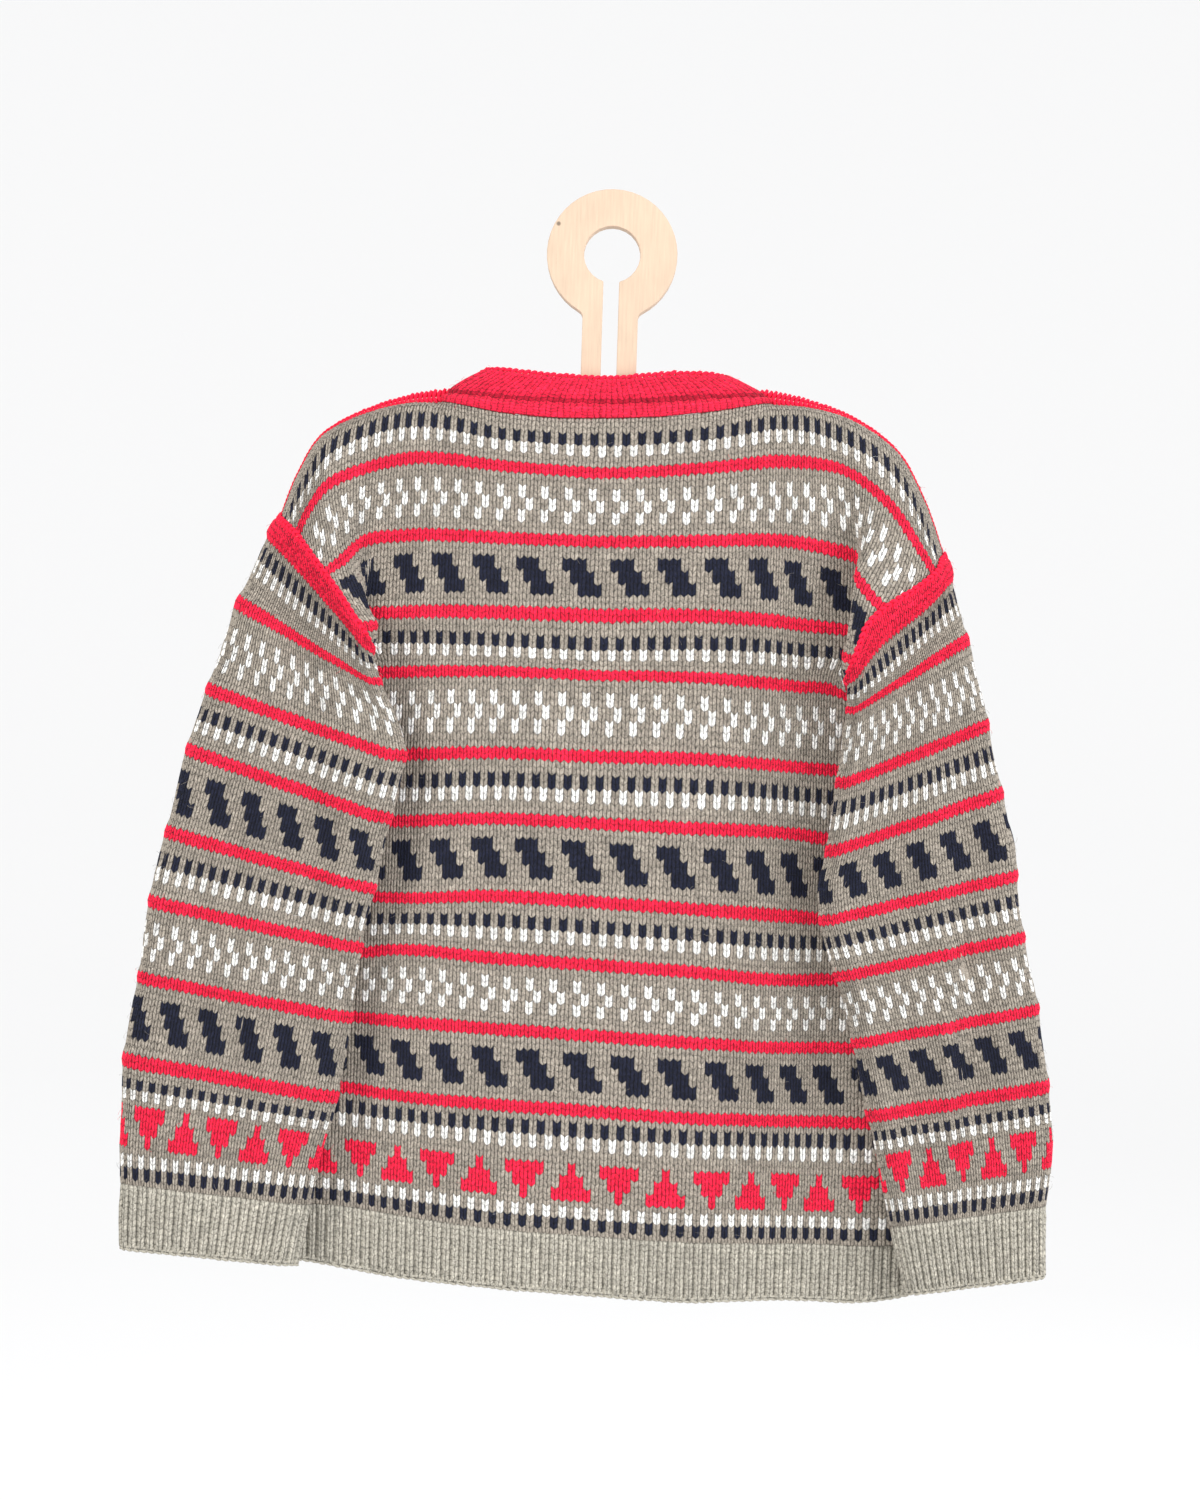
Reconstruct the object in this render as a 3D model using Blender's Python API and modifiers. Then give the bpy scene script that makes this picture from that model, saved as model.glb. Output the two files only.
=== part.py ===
"""A child's knitted wool sweater on a flat wooden hanger.

The frame is in metres with +Z up. The origin is the top of the hole in the hanger's ring, where a pin
holds it up. The back panel faces -Y and the sleeves hang on that side, in front of the body. The wearer's
left is at -X. The tables are in millimetres, in a frame whose zero is TABLE_ZERO away from the origin.
"""

import math

import bmesh
import bpy
import numpy as np

MM = 0.001
TABLE_ZERO = np.array((0.5, 0.0, 3.6))
WALL = 2.4
GAP = 0.35
RIB_RAISE = 0.8
RIB_WALL = 2.0
# How far the valleys between the ribs lie under the panel that they join.
RIB_SINK = 0.3

HANGER_THICKNESS = 9.0
RING_CENTRE_Z = -10.7
RING_RADIUS = 33.0
HOLE_RADIUS = 14.3
SLOT_WIDTH = 8.0
LEG_OUTER_X = 14.0
LEG_FILLET = 4.0
SLOT_BOTTOM_Z = -97.0
ARM_REACH = 126.0
ARM_TOP_Z = -92.5
ARM_DROP = 10.5
ARM_ROOT_BOTTOM_Z = -113.0
ARM_TIP_RADIUS = 5.0
ARM_FILLET = 5.0
ARM_FILLET_RISE = 4.4
# Places along an arm, as shares of its reach, where its top and underside bend.
ARM_TOP_SHARES = (0.35, 0.5, 0.65, 0.8, 0.9)
ARM_UNDER_SHARES = (0.75, 0.5, 0.25)

NECK_HALF_WIDTH = 84.0
NECK_HALF_DEPTH = 11.5
HEM_RIBS = 79
CUFF_RIBS = 44
NECK_RIBS = 64

GREY = (0.371, 0.327, 0.262)
RIB_GREY = (0.305, 0.283, 0.223)
RED = (0.80, 0.022, 0.048)
BIRCH = (0.93, 0.66, 0.40)

# The back panel's rows. fabric: distance down the cloth, counted by the height at the centre line.
# y_side and y_mid: depth at x = -100 and 100, and between -50 and 50. The rest: height at that x.
# fabric, y_side, y_mid, z_m100, z_m50, z_0, z_50, z_100
BACK_ROWS = (
    (89.0, -0.2, -11.5, -88.5, -93.4, -94.3, -89.8, -84.0),
    (97.0, -8.0, -11.7, -91.0, -98.6, -99.5, -95.0, -87.0),
    (105.0, -10.6, -11.8, -100.5, -105.5, -107.0, -102.5, -96.0),
    (122.0, -11.6, -12.0, -118.0, -120.0, -122.0, -118.0, -113.5),
    (139.0, -12.2, -12.4, -137.5, -138.0, -139.0, -136.5, -134.0),
    (156.5, -12.6, -12.6, -156.5, -156.0, -156.5, -154.5, -154.0),
    (175.0, -13.0, -12.8, -175.5, -174.5, -174.8, -172.5, -174.0),
    (193.5, -13.0, -12.8, -195.0, -193.3, -193.5, -192.0, -195.0),
    (206.0, -13.0, -12.6, -208.0, -208.0, -208.7, -206.5, -208.0),
    (223.5, -13.0, -12.4, -225.0, -223.0, -223.5, -223.0, -226.0),
    (244.0, -13.0, -12.4, -245.0, -243.0, -243.0, -243.0, -246.0),
    (264.5, -13.0, -12.2, -266.5, -264.0, -264.5, -264.0, -266.5),
    (298.5, -12.8, -12.0, -300.0, -297.0, -298.0, -299.0, -300.0),
    (338.0, -12.6, -12.0, -338.5, -336.0, -337.5, -339.5, -341.5),
    (369.0, -12.4, -12.0, -364.5, -367.0, -369.0, -371.0, -373.5),
    (404.5, -12.2, -12.0, -400.0, -402.5, -404.5, -406.5, -407.5),
    (442.5, -12.0, -12.0, -437.0, -440.5, -442.5, -444.5, -444.5),
    (479.0, -12.0, -12.0, -471.0, -476.0, -479.0, -480.5, -480.0),
    (505.5, -12.0, -12.0, -497.0, -503.0, -505.5, -507.3, -506.5),
)

# Where each row goes past x = -100: over the valley beside the main plane, up the shoulder flap that
# leans out towards the sleeve, to the armhole seam, and from the underarm down to the side seam.
# fabric, valley x, y, z, flap x, y, z, edge x, y, z
LEFT_SIDE = (
    (89.0, -122.0, -0.2, -94.3, -142.5, -0.2, -105.5, -163.0, -2.0, -149.0),
    (97.0, -120.5, -7.8, -97.5, -140.5, -8.6, -108.5, -161.5, -9.0, -150.5),
    (105.0, -119.5, -10.8, -105.5, -138.5, -13.0, -115.5, -159.0, -15.0, -152.5),
    (122.0, -120.0, -12.4, -123.5, -140.0, -18.0, -134.0, -152.0, -24.0, -158.5),
    (139.0, -119.5, -13.4, -141.0, -132.0, -23.0, -150.0, -144.0, -31.0, -168.0),
    (156.5, -120.0, -14.0, -160.0, -127.5, -27.0, -169.0, -136.5, -35.0, -177.5),
    (175.0, -117.0, -14.0, -179.0, -119.0, -30.0, -185.0, -128.0, -38.0, -188.5),
    (193.5, -120.0, -14.0, -197.0, -112.0, -30.0, -203.0, -118.5, -38.0, -204.0),
    (206.0, -120.0, -14.0, -209.0, -111.0, -27.0, -212.0, -114.0, -33.5, -214.5),
    (213.0, -118.0, -13.6, -216.0, -115.5, -18.5, -220.5, -121.0, -23.0, -223.0),
    (221.0, -113.0, -13.2, -223.5, -125.0, -14.4, -226.0, -138.0, -15.6, -228.0),
    (231.0, -112.0, -13.2, -233.0, -134.0, -13.6, -234.0, -158.0, -8.0, -234.0),
    (244.0, -113.0, -13.2, -246.5, -141.0, -13.2, -247.0, -162.5, -4.0, -247.0),
    (264.5, -115.0, -13.2, -267.0, -152.0, -13.0, -267.0, -166.0, -2.0, -267.0),
    (338.0, -115.0, -12.8, -338.0, -159.0, -12.2, -337.0, -170.0, -1.0, -336.0),
    (404.5, -116.0, -12.2, -399.0, -162.0, -11.8, -396.5, -172.0, -1.0, -395.0),
    (505.5, -118.0, -12.0, -494.5, -163.0, -11.6, -490.5, -173.0, -1.0, -488.5),
)
RIGHT_SIDE = (
    (89.0, 122.0, -0.2, -89.0, 146.5, -0.2, -104.0, 173.0, -2.0, -158.0),
    (97.0, 120.5, -7.8, -92.5, 144.0, -8.6, -107.5, 171.5, -9.0, -159.5),
    (105.0, 119.5, -10.8, -101.5, 141.5, -13.0, -114.0, 169.5, -15.0, -161.5),
    (122.0, 121.0, -12.4, -117.0, 142.0, -18.0, -133.0, 166.0, -24.0, -168.0),
    (139.0, 126.0, -13.4, -138.0, 133.0, -23.0, -149.0, 154.0, -31.0, -177.5),
    (156.5, 129.0, -14.0, -162.0, 126.5, -28.0, -170.0, 140.0, -35.0, -187.0),
    (175.0, 130.0, -14.0, -182.0, 124.5, -30.0, -192.0, 131.0, -38.0, -197.5),
    (193.5, 129.0, -14.0, -200.0, 122.5, -30.0, -211.0, 127.0, -38.0, -213.0),
    (206.0, 126.0, -14.0, -212.0, 121.5, -26.0, -219.0, 124.5, -33.0, -221.5),
    (213.0, 122.0, -13.6, -218.0, 123.0, -18.5, -225.5, 128.0, -23.0, -229.5),
    (221.0, 118.0, -13.2, -225.0, 130.0, -14.4, -231.0, 143.0, -15.6, -234.0),
    (231.0, 117.0, -13.2, -234.0, 140.0, -13.6, -239.0, 165.0, -8.0, -240.0),
    (244.0, 118.0, -13.2, -247.0, 145.0, -13.2, -249.0, 168.0, -4.0, -250.0),
    (264.5, 119.0, -13.2, -267.5, 156.0, -13.0, -268.0, 170.0, -2.0, -268.0),
    (338.0, 119.0, -12.8, -342.5, 161.0, -12.2, -343.0, 172.0, -1.0, -343.0),
    (404.5, 119.0, -12.2, -407.0, 164.0, -11.8, -406.0, 174.0, -1.0, -405.0),
    (505.5, 119.0, -12.0, -506.0, 165.0, -11.6, -504.5, 175.0, -1.0, -503.0),
)

SHOULDER_ROWS = (
    89.0, 97.0, 105.0, 113.5, 122.0, 130.5, 139.0, 147.5, 156.5, 166.0, 175.0, 184.0, 193.5, 206.0,
)
UNDERARM_ROWS = (213.0, 221.0, 231.0)
LOWER_ROWS = (
    244.0, 264.5, 281.0, 298.5, 318.0, 338.0, 353.0, 369.0,
    387.0, 404.5, 424.0, 442.5, 461.0, 479.0, 505.5,
)
BACK_MESH_ROWS = SHOULDER_ROWS + UNDERARM_ROWS + LOWER_ROWS
ROWS_TO_INNER_EDGE = len(SHOULDER_ROWS) - 1
ROWS_TO_UNDERARM = ROWS_TO_INNER_EDGE + len(UNDERARM_ROWS)
# Places along a row, as its knots are counted: 0 is the left edge, 5 the centre line, 10 the right edge.
BACK_MESH_COLUMNS = (
    0, 0.5, 1, 1.5, 2, 3, 3.32, 3.42, 3.6, 3.88, 4.44, 5,
    5.56, 6.12, 6.4, 6.58, 6.68, 7, 8, 8.5, 9, 9.5, 10,
)
NECK_COLUMNS = (6, 16)

# The front panel's armhole edge, from the shoulder point to the underarm.
# fabric, left x, y, z, right x, y, z
FRONT_ARMHOLE = (
    (89.0, -163.0, -1.6, -149.0, 173.0, -1.6, -158.0),
    (97.0, -163.5, 0.5, -157.0, 173.5, 0.5, -166.0),
    (105.0, -163.5, 2.0, -166.0, 173.5, 2.0, -175.0),
    (125.0, -163.5, 2.6, -177.0, 173.5, 2.6, -186.0),
    (145.0, -163.0, 2.0, -189.0, 173.0, 2.0, -197.0),
    (165.0, -162.5, 0.0, -201.0, 172.0, 0.0, -208.0),
    (185.0, -161.5, -2.5, -212.5, 170.5, -2.5, -219.0),
    (206.0, -160.0, -5.4, -223.5, 168.0, -5.4, -229.5),
    (231.0, -158.0, -7.6, -234.0, 165.0, -7.6, -240.0),
)
FRONT_UNDERARM_ROW = 8
FRONT_MESH_ROWS = (89.0, 97.0, 105.0, 125.0, 145.0, 165.0, 185.0, 206.0) + BACK_MESH_ROWS[ROWS_TO_UNDERARM:]
FRONT_DEPTH = 11.5
FRONT_HEM_Z = -499.0
FRONT_NECK_POWER = 2.6
FRONT_SIDE_POWER = 6
SIDE_ROUND = 14.0
NECK_ROLL = 6.0
# How the front panel rolls over the shoulder. fabric, share of the way down, y
FRONT_ROLL = (
    (89.0, 0.0, 0.2),
    (97.0, 0.0080, 8.2),
    (105.0, 0.030, 10.6),
    (125.0, 0.085, 11.5),
    (505.5, 1.0, 11.5),
)

# Sleeve sections. cloth: distance down from the seam. outer and inner: the edges of the flattened tube.
# sag: how far the hidden side hangs under the line between the edges.
# cloth, outer x, y, z, inner x, y, z, depth, sag
LEFT_SLEEVE = (
    (18.0, -171.5, -11.0, -169.0, -111.5, -31.0, -224.0, 17.0, 41.0),
    (38.0, -181.0, -16.0, -193.0, -108.0, -30.0, -233.0, 18.0, 38.0),
    (58.0, -188.5, -20.0, -215.0, -100.0, -29.5, -248.0, 18.0, 33.0),
    (80.0, -195.0, -22.0, -236.5, -94.5, -29.0, -269.0, 17.0, 28.0),
    (96.0, -199.0, -23.0, -252.0, -98.0, -28.5, -284.0, 17.0, 23.0),
    (112.0, -203.0, -23.0, -267.0, -101.5, -28.5, -299.5, 16.5, 18.0),
    (131.0, -208.0, -23.5, -288.0, -104.5, -28.0, -317.0, 16.5, 13.0),
    (150.0, -213.0, -23.5, -308.0, -108.0, -28.0, -334.0, 16.0, 8.0),
    (183.0, -220.0, -23.5, -343.0, -114.0, -27.5, -363.0, 16.0, 2.0),
    (220.0, -224.5, -23.5, -381.0, -117.0, -27.0, -398.0, 16.0, 0.0),
    (261.0, -229.5, -23.5, -421.0, -123.5, -26.5, -437.0, 16.0, 0.0),
    (288.0, -231.0, -23.5, -456.0, -130.0, -26.0, -466.0, 15.5, 0.0),
    (321.0, -230.0, -23.5, -484.5, -134.5, -26.0, -492.0, 15.0, 0.0),
    (350.0, -229.5, -23.5, -515.5, -140.0, -26.0, -521.0, 14.5, 0.0),
)
RIGHT_SLEEVE = (
    (18.0, 178.5, -11.0, -180.0, 125.0, -31.0, -231.0, 17.0, 41.0),
    (38.0, 183.5, -16.0, -200.0, 125.0, -30.0, -239.0, 18.0, 38.0),
    (58.0, 190.0, -20.0, -222.0, 123.0, -29.5, -255.0, 18.0, 33.0),
    (80.0, 194.5, -22.0, -242.5, 121.0, -29.0, -275.0, 17.0, 28.0),
    (96.0, 198.5, -23.0, -260.0, 119.5, -28.5, -291.0, 17.0, 23.0),
    (112.0, 203.0, -23.0, -276.0, 116.0, -28.5, -309.0, 16.5, 18.0),
    (131.0, 208.0, -23.5, -297.0, 112.5, -28.0, -326.0, 16.5, 13.0),
    (150.0, 211.0, -23.5, -317.0, 114.0, -28.0, -343.0, 16.0, 8.0),
    (183.0, 216.5, -23.5, -347.0, 123.0, -27.5, -370.0, 16.0, 2.0),
    (220.0, 224.5, -23.5, -383.0, 132.5, -27.0, -403.0, 16.0, 0.0),
    (261.0, 230.5, -23.5, -420.0, 141.0, -26.5, -437.5, 16.0, 0.0),
    (288.0, 234.0, -23.5, -453.0, 148.5, -26.0, -469.0, 15.5, 0.0),
    (321.0, 231.5, -23.5, -481.0, 154.0, -26.0, -494.0, 15.0, 0.0),
    (350.0, 231.5, -23.5, -515.5, 162.0, -26.0, -526.0, 14.5, 0.0),
)
SLEEVE_MESH_CLOTH = (
    18.0, 38.0, 58.0, 80.0, 96.0, 112.0, 131.0, 150.0,
    172.0, 196.0, 220.0, 246.0, 272.0, 296.0, 320.7,
)
CUFF_BOTTOM_CLOTH = 350.0
SAG_LEAN = 0.8

# The hem's lower edge. x, z
HEM_EDGE = (
    (-176.0, -515.0),
    (-130.0, -522.0),
    (-100.0, -527.0),
    (-50.0, -531.5),
    (0.0, -534.0),
    (50.0, -536.0),
    (100.0, -533.5),
    (150.0, -532.0),
    (176.0, -527.0),
)
FRONT_HEM_EDGE = ((-176.0, -513.0), (-130.0, -519.0), (0.0, -529.0), (176.0, -525.0))
HEM_NARROWING = 0.998

# The neckband's levels, from its lower edge up, with its ends at the left and right.
# rib share: how much of the ribs' height shows. lift: how far the level stands out.
# left x, z, right x, z, back z at the left, the middle and the right, front z, half depth, rib share, lift
NECK_LEVELS = (
    (-84.0, -87.2, 84.0, -82.9, -93.4, -94.3, -89.8, -137.0, 11.5, 0.0, 0.3),
    (-82.8, -83.2, 82.5, -80.2, -87.0, -87.8, -84.0, -129.0, 11.3, 0.0, 0.6),
    (-82.0, -82.0, 81.5, -79.2, -85.2, -86.0, -82.4, -127.0, 11.1, 0.0, -0.3),
    (-80.5, -80.8, 79.5, -78.2, -83.6, -84.2, -80.6, -125.0, 11.0, 1.0, 0.5),
    (-62.5, -70.5, 61.5, -70.5, -73.2, -74.5, -71.0, -114.0, 10.6, 1.0, 0.2),
)
# Where the band's left and right back heights are given, as a share of the way to its ends.
NECK_KNOT_SHARE = 0.6
NECK_SEAM_LIFT = 0.15

# Large folds of the cloth. Each is a soft ridge (+) or trough (-) along a line of x, z points.
# piece, height, half width, points
FOLDS = (
    ("back_panel", 2.6, 13.0, ((84.0, -175.0), (90.0, -240.0), (91.0, -330.0), (88.0, -420.0))),
    ("back_panel", -2.2, 12.0, ((108.0, -160.0), (110.0, -240.0), (112.0, -340.0), (112.0, -430.0))),
    ("back_panel", -1.8, 11.0, ((-103.0, -170.0), (-100.0, -250.0), (-106.0, -340.0))),
    ("back_panel", 1.4, 14.0, ((-62.0, -150.0), (-70.0, -230.0), (-78.0, -330.0), (-84.0, -440.0))),
    ("front_panel", 2.0, 15.0, ((-58.0, -170.0), (-74.0, -300.0), (-86.0, -450.0))),
    ("front_panel", -2.0, 16.0, ((64.0, -160.0), (78.0, -280.0), (96.0, -440.0))),
    ("sleeve_left", -3.6, 9.0, ((-152.0, -203.0), (-141.0, -240.0), (-138.0, -300.0), (-138.0, -360.0))),
    ("sleeve_left", 1.8, 12.0, ((-163.0, -225.0), (-168.0, -300.0), (-178.0, -390.0))),
    ("sleeve_right", 2.6, 9.0, ((166.0, -212.0), (168.0, -290.0), (175.0, -370.0), (183.0, -440.0))),
    ("sleeve_right", -2.6, 8.0, ((180.0, -235.0), (186.0, -310.0), (193.0, -390.0), (194.0, -455.0))),
)
FOLD_FADE = 26.0


def unit(vectors):
    lengths = np.linalg.norm(vectors, axis=-1, keepdims=True)
    return vectors / np.maximum(lengths, 1e-9)


def smooth(knots, values, at):
    """A smooth curve through values at uneven knots, read at each place in at."""
    knots = np.asarray(knots, float)
    values = np.asarray(values, float)
    values = values.reshape(len(knots), -1)
    slopes = np.gradient(values, knots, axis=0)
    at = np.clip(np.atleast_1d(np.asarray(at, float)), knots[0], knots[-1])
    index = np.clip(np.searchsorted(knots, at, side="right") - 1, 0, len(knots) - 2)
    span = (knots[index + 1] - knots[index])[:, None]
    t = (at[:, None] - knots[index][:, None]) / span
    start = (2 * t**3 - 3 * t**2 + 1) * values[index] + (t**3 - 2 * t**2 + t) * span * slopes[index]
    end = (3 * t**2 - 2 * t**3) * values[index + 1] + (t**3 - t**2) * span * slopes[index + 1]
    return start + end


def chord_lengths(points):
    steps = np.linalg.norm(np.diff(points, axis=0), axis=1)
    return np.concatenate(([0.0], np.cumsum(steps)))


def fold_height(piece, points):
    """How far the large folds of a piece lift its cloth at each point."""
    height = np.zeros(points.shape[:-1])
    for owner, rise, half_width, line in FOLDS:
        if owner != piece:
            continue
        nearest = np.full(height.shape, np.inf)
        for start, end in zip(np.array(line[:-1]), np.array(line[1:])):
            run = end - start
            offset = points[..., (0, 2)] - start
            share = np.clip((offset @ run) / (run @ run), 0, 1)
            nearest = np.minimum(nearest, np.linalg.norm(offset - share[..., None] * run, axis=-1))
        ends = np.clip((line[0][1] + FOLD_FADE - points[..., 2]) / FOLD_FADE, 0, 1)
        ends = ends * np.clip((points[..., 2] - line[-1][1] + FOLD_FADE) / FOLD_FADE, 0, 1)
        height += rise * np.exp(-((nearest / half_width) ** 2)) * ends
    return height


def superellipse(share):
    return np.sqrt(np.maximum(1 - np.abs(share) ** 8, 0))


def back_neck_z(x):
    left_x, left_z, right_x, right_z, *heights = NECK_LEVELS[0][:7]
    return smooth((left_x, -50, 0, 50, right_x), (left_z, *heights, right_z), x)[:, 0]


def front_neck_z(x, level=NECK_LEVELS[0]):
    left_x, left_z, right_x, right_z = level[:4]
    middle_z = level[7]
    share = np.clip(np.where(x < 0, x / left_x, x / right_x), 0, 1)
    corner_z = np.where(x < 0, left_z, right_z)
    return middle_z + (corner_z - middle_z) * share**FRONT_NECK_POWER


def back_points():
    """The outer side of the back panel, one row of points for each mesh row."""
    main = np.array(BACK_ROWS)
    left = np.array(LEFT_SIDE)
    right = np.array(RIGHT_SIDE)
    rows = []
    for fabric in BACK_MESH_ROWS:
        y_side, y_mid, *heights = smooth(main[:, 0], main[:, 1:], fabric)[0]
        left_knots = smooth(left[:, 0], left[:, 1:], fabric)[0].reshape(3, 3)[::-1]
        right_knots = smooth(right[:, 0], right[:, 1:], fabric)[0].reshape(3, 3)
        depths = (y_side, y_mid, y_mid, y_mid, y_side)
        middle = np.array(tuple(zip((-100, -50, 0, 50, 100), depths, heights)))
        knots = np.concatenate((left_knots, middle, right_knots))
        lengths = chord_lengths(knots)
        at = np.interp(BACK_MESH_COLUMNS, range(len(knots)), lengths)
        rows.append(smooth(lengths, knots, at))
    points = np.array(rows)
    neck = slice(NECK_COLUMNS[0], NECK_COLUMNS[1] + 1)
    x = points[0, neck, 0].copy()
    x[0], x[-1] = -NECK_HALF_WIDTH, NECK_HALF_WIDTH
    points[0, neck, 0] = x
    points[0, neck, 1] = -np.maximum(NECK_HALF_DEPTH * superellipse(x / NECK_HALF_WIDTH), GAP / 2)
    points[0, neck, 2] = back_neck_z(x)
    points[..., 1] -= fold_height("back_panel", points)
    return points


def front_points(back):
    """The outer side of the front panel. It meets the back panel at the shoulders and the side seams."""
    armhole = np.array(FRONT_ARMHOLE)
    shares = back[0, :, 0] / np.where(back[0, :, 0] < 0, -back[0, 0, 0], back[0, -1, 0])
    crest = back[0, :, 2].copy()
    neck = np.abs(back[0, :, 0]) < NECK_HALF_WIDTH - 1
    top = np.where(neck, front_neck_z(back[0, :, 0]), crest)
    roll = np.array(FRONT_ROLL)
    first, last = FRONT_MESH_ROWS[0], FRONT_MESH_ROWS[-1]
    rows = []
    for number, fabric in enumerate(FRONT_MESH_ROWS):
        if number <= FRONT_UNDERARM_ROW:
            left, right = armhole[number, 1:4], armhole[number, 4:7]
        else:
            left, right = back[ROWS_TO_UNDERARM + number - FRONT_UNDERARM_ROW, (0, -1)]
        x = np.where(shares < 0, -shares * left[0], shares * right[0])
        even_share = (fabric - first) / (last - first)
        roll_share, roll_y = (np.interp(fabric, roll[:, 0], roll[:, column]) for column in (1, 2))
        down = np.where(neck, even_share, roll_share)
        z = top + (FRONT_HEM_Z - top) * down
        off_left, off_right = left[2] - z[0], right[2] - z[-1]
        z = z + np.abs(shares) ** FRONT_SIDE_POWER * np.where(shares < 0, off_left, off_right)
        edge_x = np.where(shares < 0, -left[0], right[0])
        edge_y = np.where(shares < 0, left[1], right[1])
        turn = np.clip((np.abs(x) - edge_x + SIDE_ROUND) / SIDE_ROUND, 0, 1)
        corner = 1 - superellipse(back[0, :, 0] / NECK_HALF_WIDTH)
        neck_y = FRONT_DEPTH * (1 - corner * np.exp(-(fabric - first) / NECK_ROLL))
        flat_y = np.where(neck, neck_y, roll_y)
        y = edge_y + (flat_y - edge_y) * np.sqrt(1 - turn**2)
        rows.append(np.stack((x, y, z), axis=-1))
    points = np.array(rows)
    points[..., 1] += fold_height("front_panel", points)
    return points


def stadium(shares, width, depth):
    """Places round a flattened tube, from its outer edge, along the side that shows, and back behind."""
    quarter = np.linspace(0, math.pi / 2, 9)
    radius = depth / 2
    bend = np.stack((radius * (1 - np.cos(quarter)), -radius * np.sin(quarter)), axis=-1)
    far = bend[::-1] * (-1, 1) + (width, 0)
    side = np.concatenate((bend, far))
    loop = np.concatenate((side, side[::-1][1:] * (1, -1)))
    lengths = chord_lengths(loop)
    at = np.asarray(shares) * lengths[-1]
    return np.stack((np.interp(at, lengths, loop[:, 0]), np.interp(at, lengths, loop[:, 1])), axis=-1)


def sleeve_ring(table, cloth, shares):
    """One ring of a sleeve, as far down from the seam as cloth says."""
    values = np.array(table)
    row = smooth(values[:, 0], values[:, 1:], cloth)[0]
    outer, inner, depth, sag = row[0:3], row[3:6], row[6], row[7]
    width = np.linalg.norm(inner - outer)
    place = stadium(shares, width, depth)
    ring = outer + place[:, :1] / width * (inner - outer)
    ring[:, 1] += place[:, 1]
    hidden = np.clip((np.asarray(shares) - 0.5) * 2, 0, 1)
    hang = sag * np.sin(math.pi * hidden**0.75)
    ring[:, 0] += np.sign(outer[0]) * SAG_LEAN * hang * (1 - hidden)
    ring[:, 2] -= hang
    return ring


def ring_shares(seam, inner_index):
    """Each seam point's share of the way round, with the inner edge of the sleeve at one half."""
    lengths = chord_lengths(np.concatenate((seam, seam[:1])))
    half = lengths[inner_index]
    first = 0.5 * lengths[: inner_index + 1] / half
    second = 0.5 + 0.5 * (lengths[inner_index + 1 : -1] - half) / (lengths[-1] - half)
    return np.concatenate((first, second))


def seam_frame(edge, inside_a, inside_b, turn, closed=False, valley=False):
    """Two ways at each point of the seam between pieces A and B: out of the cloth, and from A to B."""
    if closed:
        along = np.roll(edge, -1, axis=0) - np.roll(edge, 1, axis=0)
    else:
        along = np.gradient(edge, axis=0)
    along = unit(along)
    to_a = inside_a - edge
    to_a = unit(to_a - (to_a * along).sum(-1, keepdims=True) * along)
    to_b = inside_b - edge
    to_b = unit(to_b - (to_b * along).sum(-1, keepdims=True) * along)
    out_b = turn * np.cross(along, to_b)
    angle = np.arctan2((to_a * out_b).sum(-1), (to_a * to_b).sum(-1)) % (2 * math.pi)
    if valley:
        angle = np.where(angle > 1.75 * math.pi, angle - 2 * math.pi, angle)
    half = angle[:, None] / 2
    out = np.cos(half) * to_b + np.sin(half) * out_b
    across = np.sin(half) * to_b - np.cos(half) * out_b
    return out, across


def outward(points, turn, closed=False):
    """Unit vectors out of a lattice of points, whose second way runs round when it is closed."""
    down = np.gradient(points, axis=0)
    if closed:
        over = np.roll(points, -1, axis=1) - np.roll(points, 1, axis=1)
    else:
        over = np.gradient(points, axis=1)
    return unit(turn * np.cross(over, down))


def material(name, color, roughness):
    made = bpy.data.materials.new(name)
    made.use_nodes = True
    shader = made.node_tree.nodes["Principled BSDF"]
    shader.inputs["Base Color"].default_value = (*color, 1)
    shader.inputs["Roughness"].default_value = roughness
    made.diffuse_color = (*color, 1)
    return made


def add_piece(name, mesh, collection, color, roughness=0.95):
    mesh.materials.append(material(name, color, roughness))
    piece = bpy.data.objects.new(name, mesh)
    collection.objects.link(piece)
    return piece


def wall(name, outer, inner, collection, color, closed=False):
    """A closed wall between two lattices of points. A closed one is a tube that is open at both ends."""
    rows, columns = outer.shape[:2]
    spans = columns if closed else columns - 1
    build = bmesh.new()
    sides = []
    for lattice in (outer, inner):
        places = (lattice - TABLE_ZERO) * MM
        sides.append([[build.verts.new(place) for place in row] for row in places])
    front, back = sides
    for row in range(rows - 1):
        for column in range(spans):
            after = (column + 1) % columns
            below = row + 1
            build.faces.new((front[row][column], front[below][column], front[below][after], front[row][after]))
            build.faces.new((back[row][after], back[below][after], back[below][column], back[row][column]))
    for column in range(spans):
        after = (column + 1) % columns
        build.faces.new((front[0][column], front[0][after], back[0][after], back[0][column]))
        build.faces.new((back[-1][column], back[-1][after], front[-1][after], front[-1][column]))
    if not closed:
        for row in range(rows - 1):
            build.faces.new((front[row][0], back[row][0], back[row + 1][0], front[row + 1][0]))
            build.faces.new((front[row + 1][-1], back[row + 1][-1], back[row][-1], front[row][-1]))
    bmesh.ops.recalc_face_normals(build, faces=build.faces)
    bmesh.ops.triangulate(build, faces=build.faces)
    mesh = bpy.data.meshes.new(name)
    build.to_mesh(mesh)
    build.free()
    mesh.shade_smooth()
    mesh.set_sharp_from_angle(angle=math.radians(50))
    return add_piece(name, mesh, collection, color)


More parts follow.
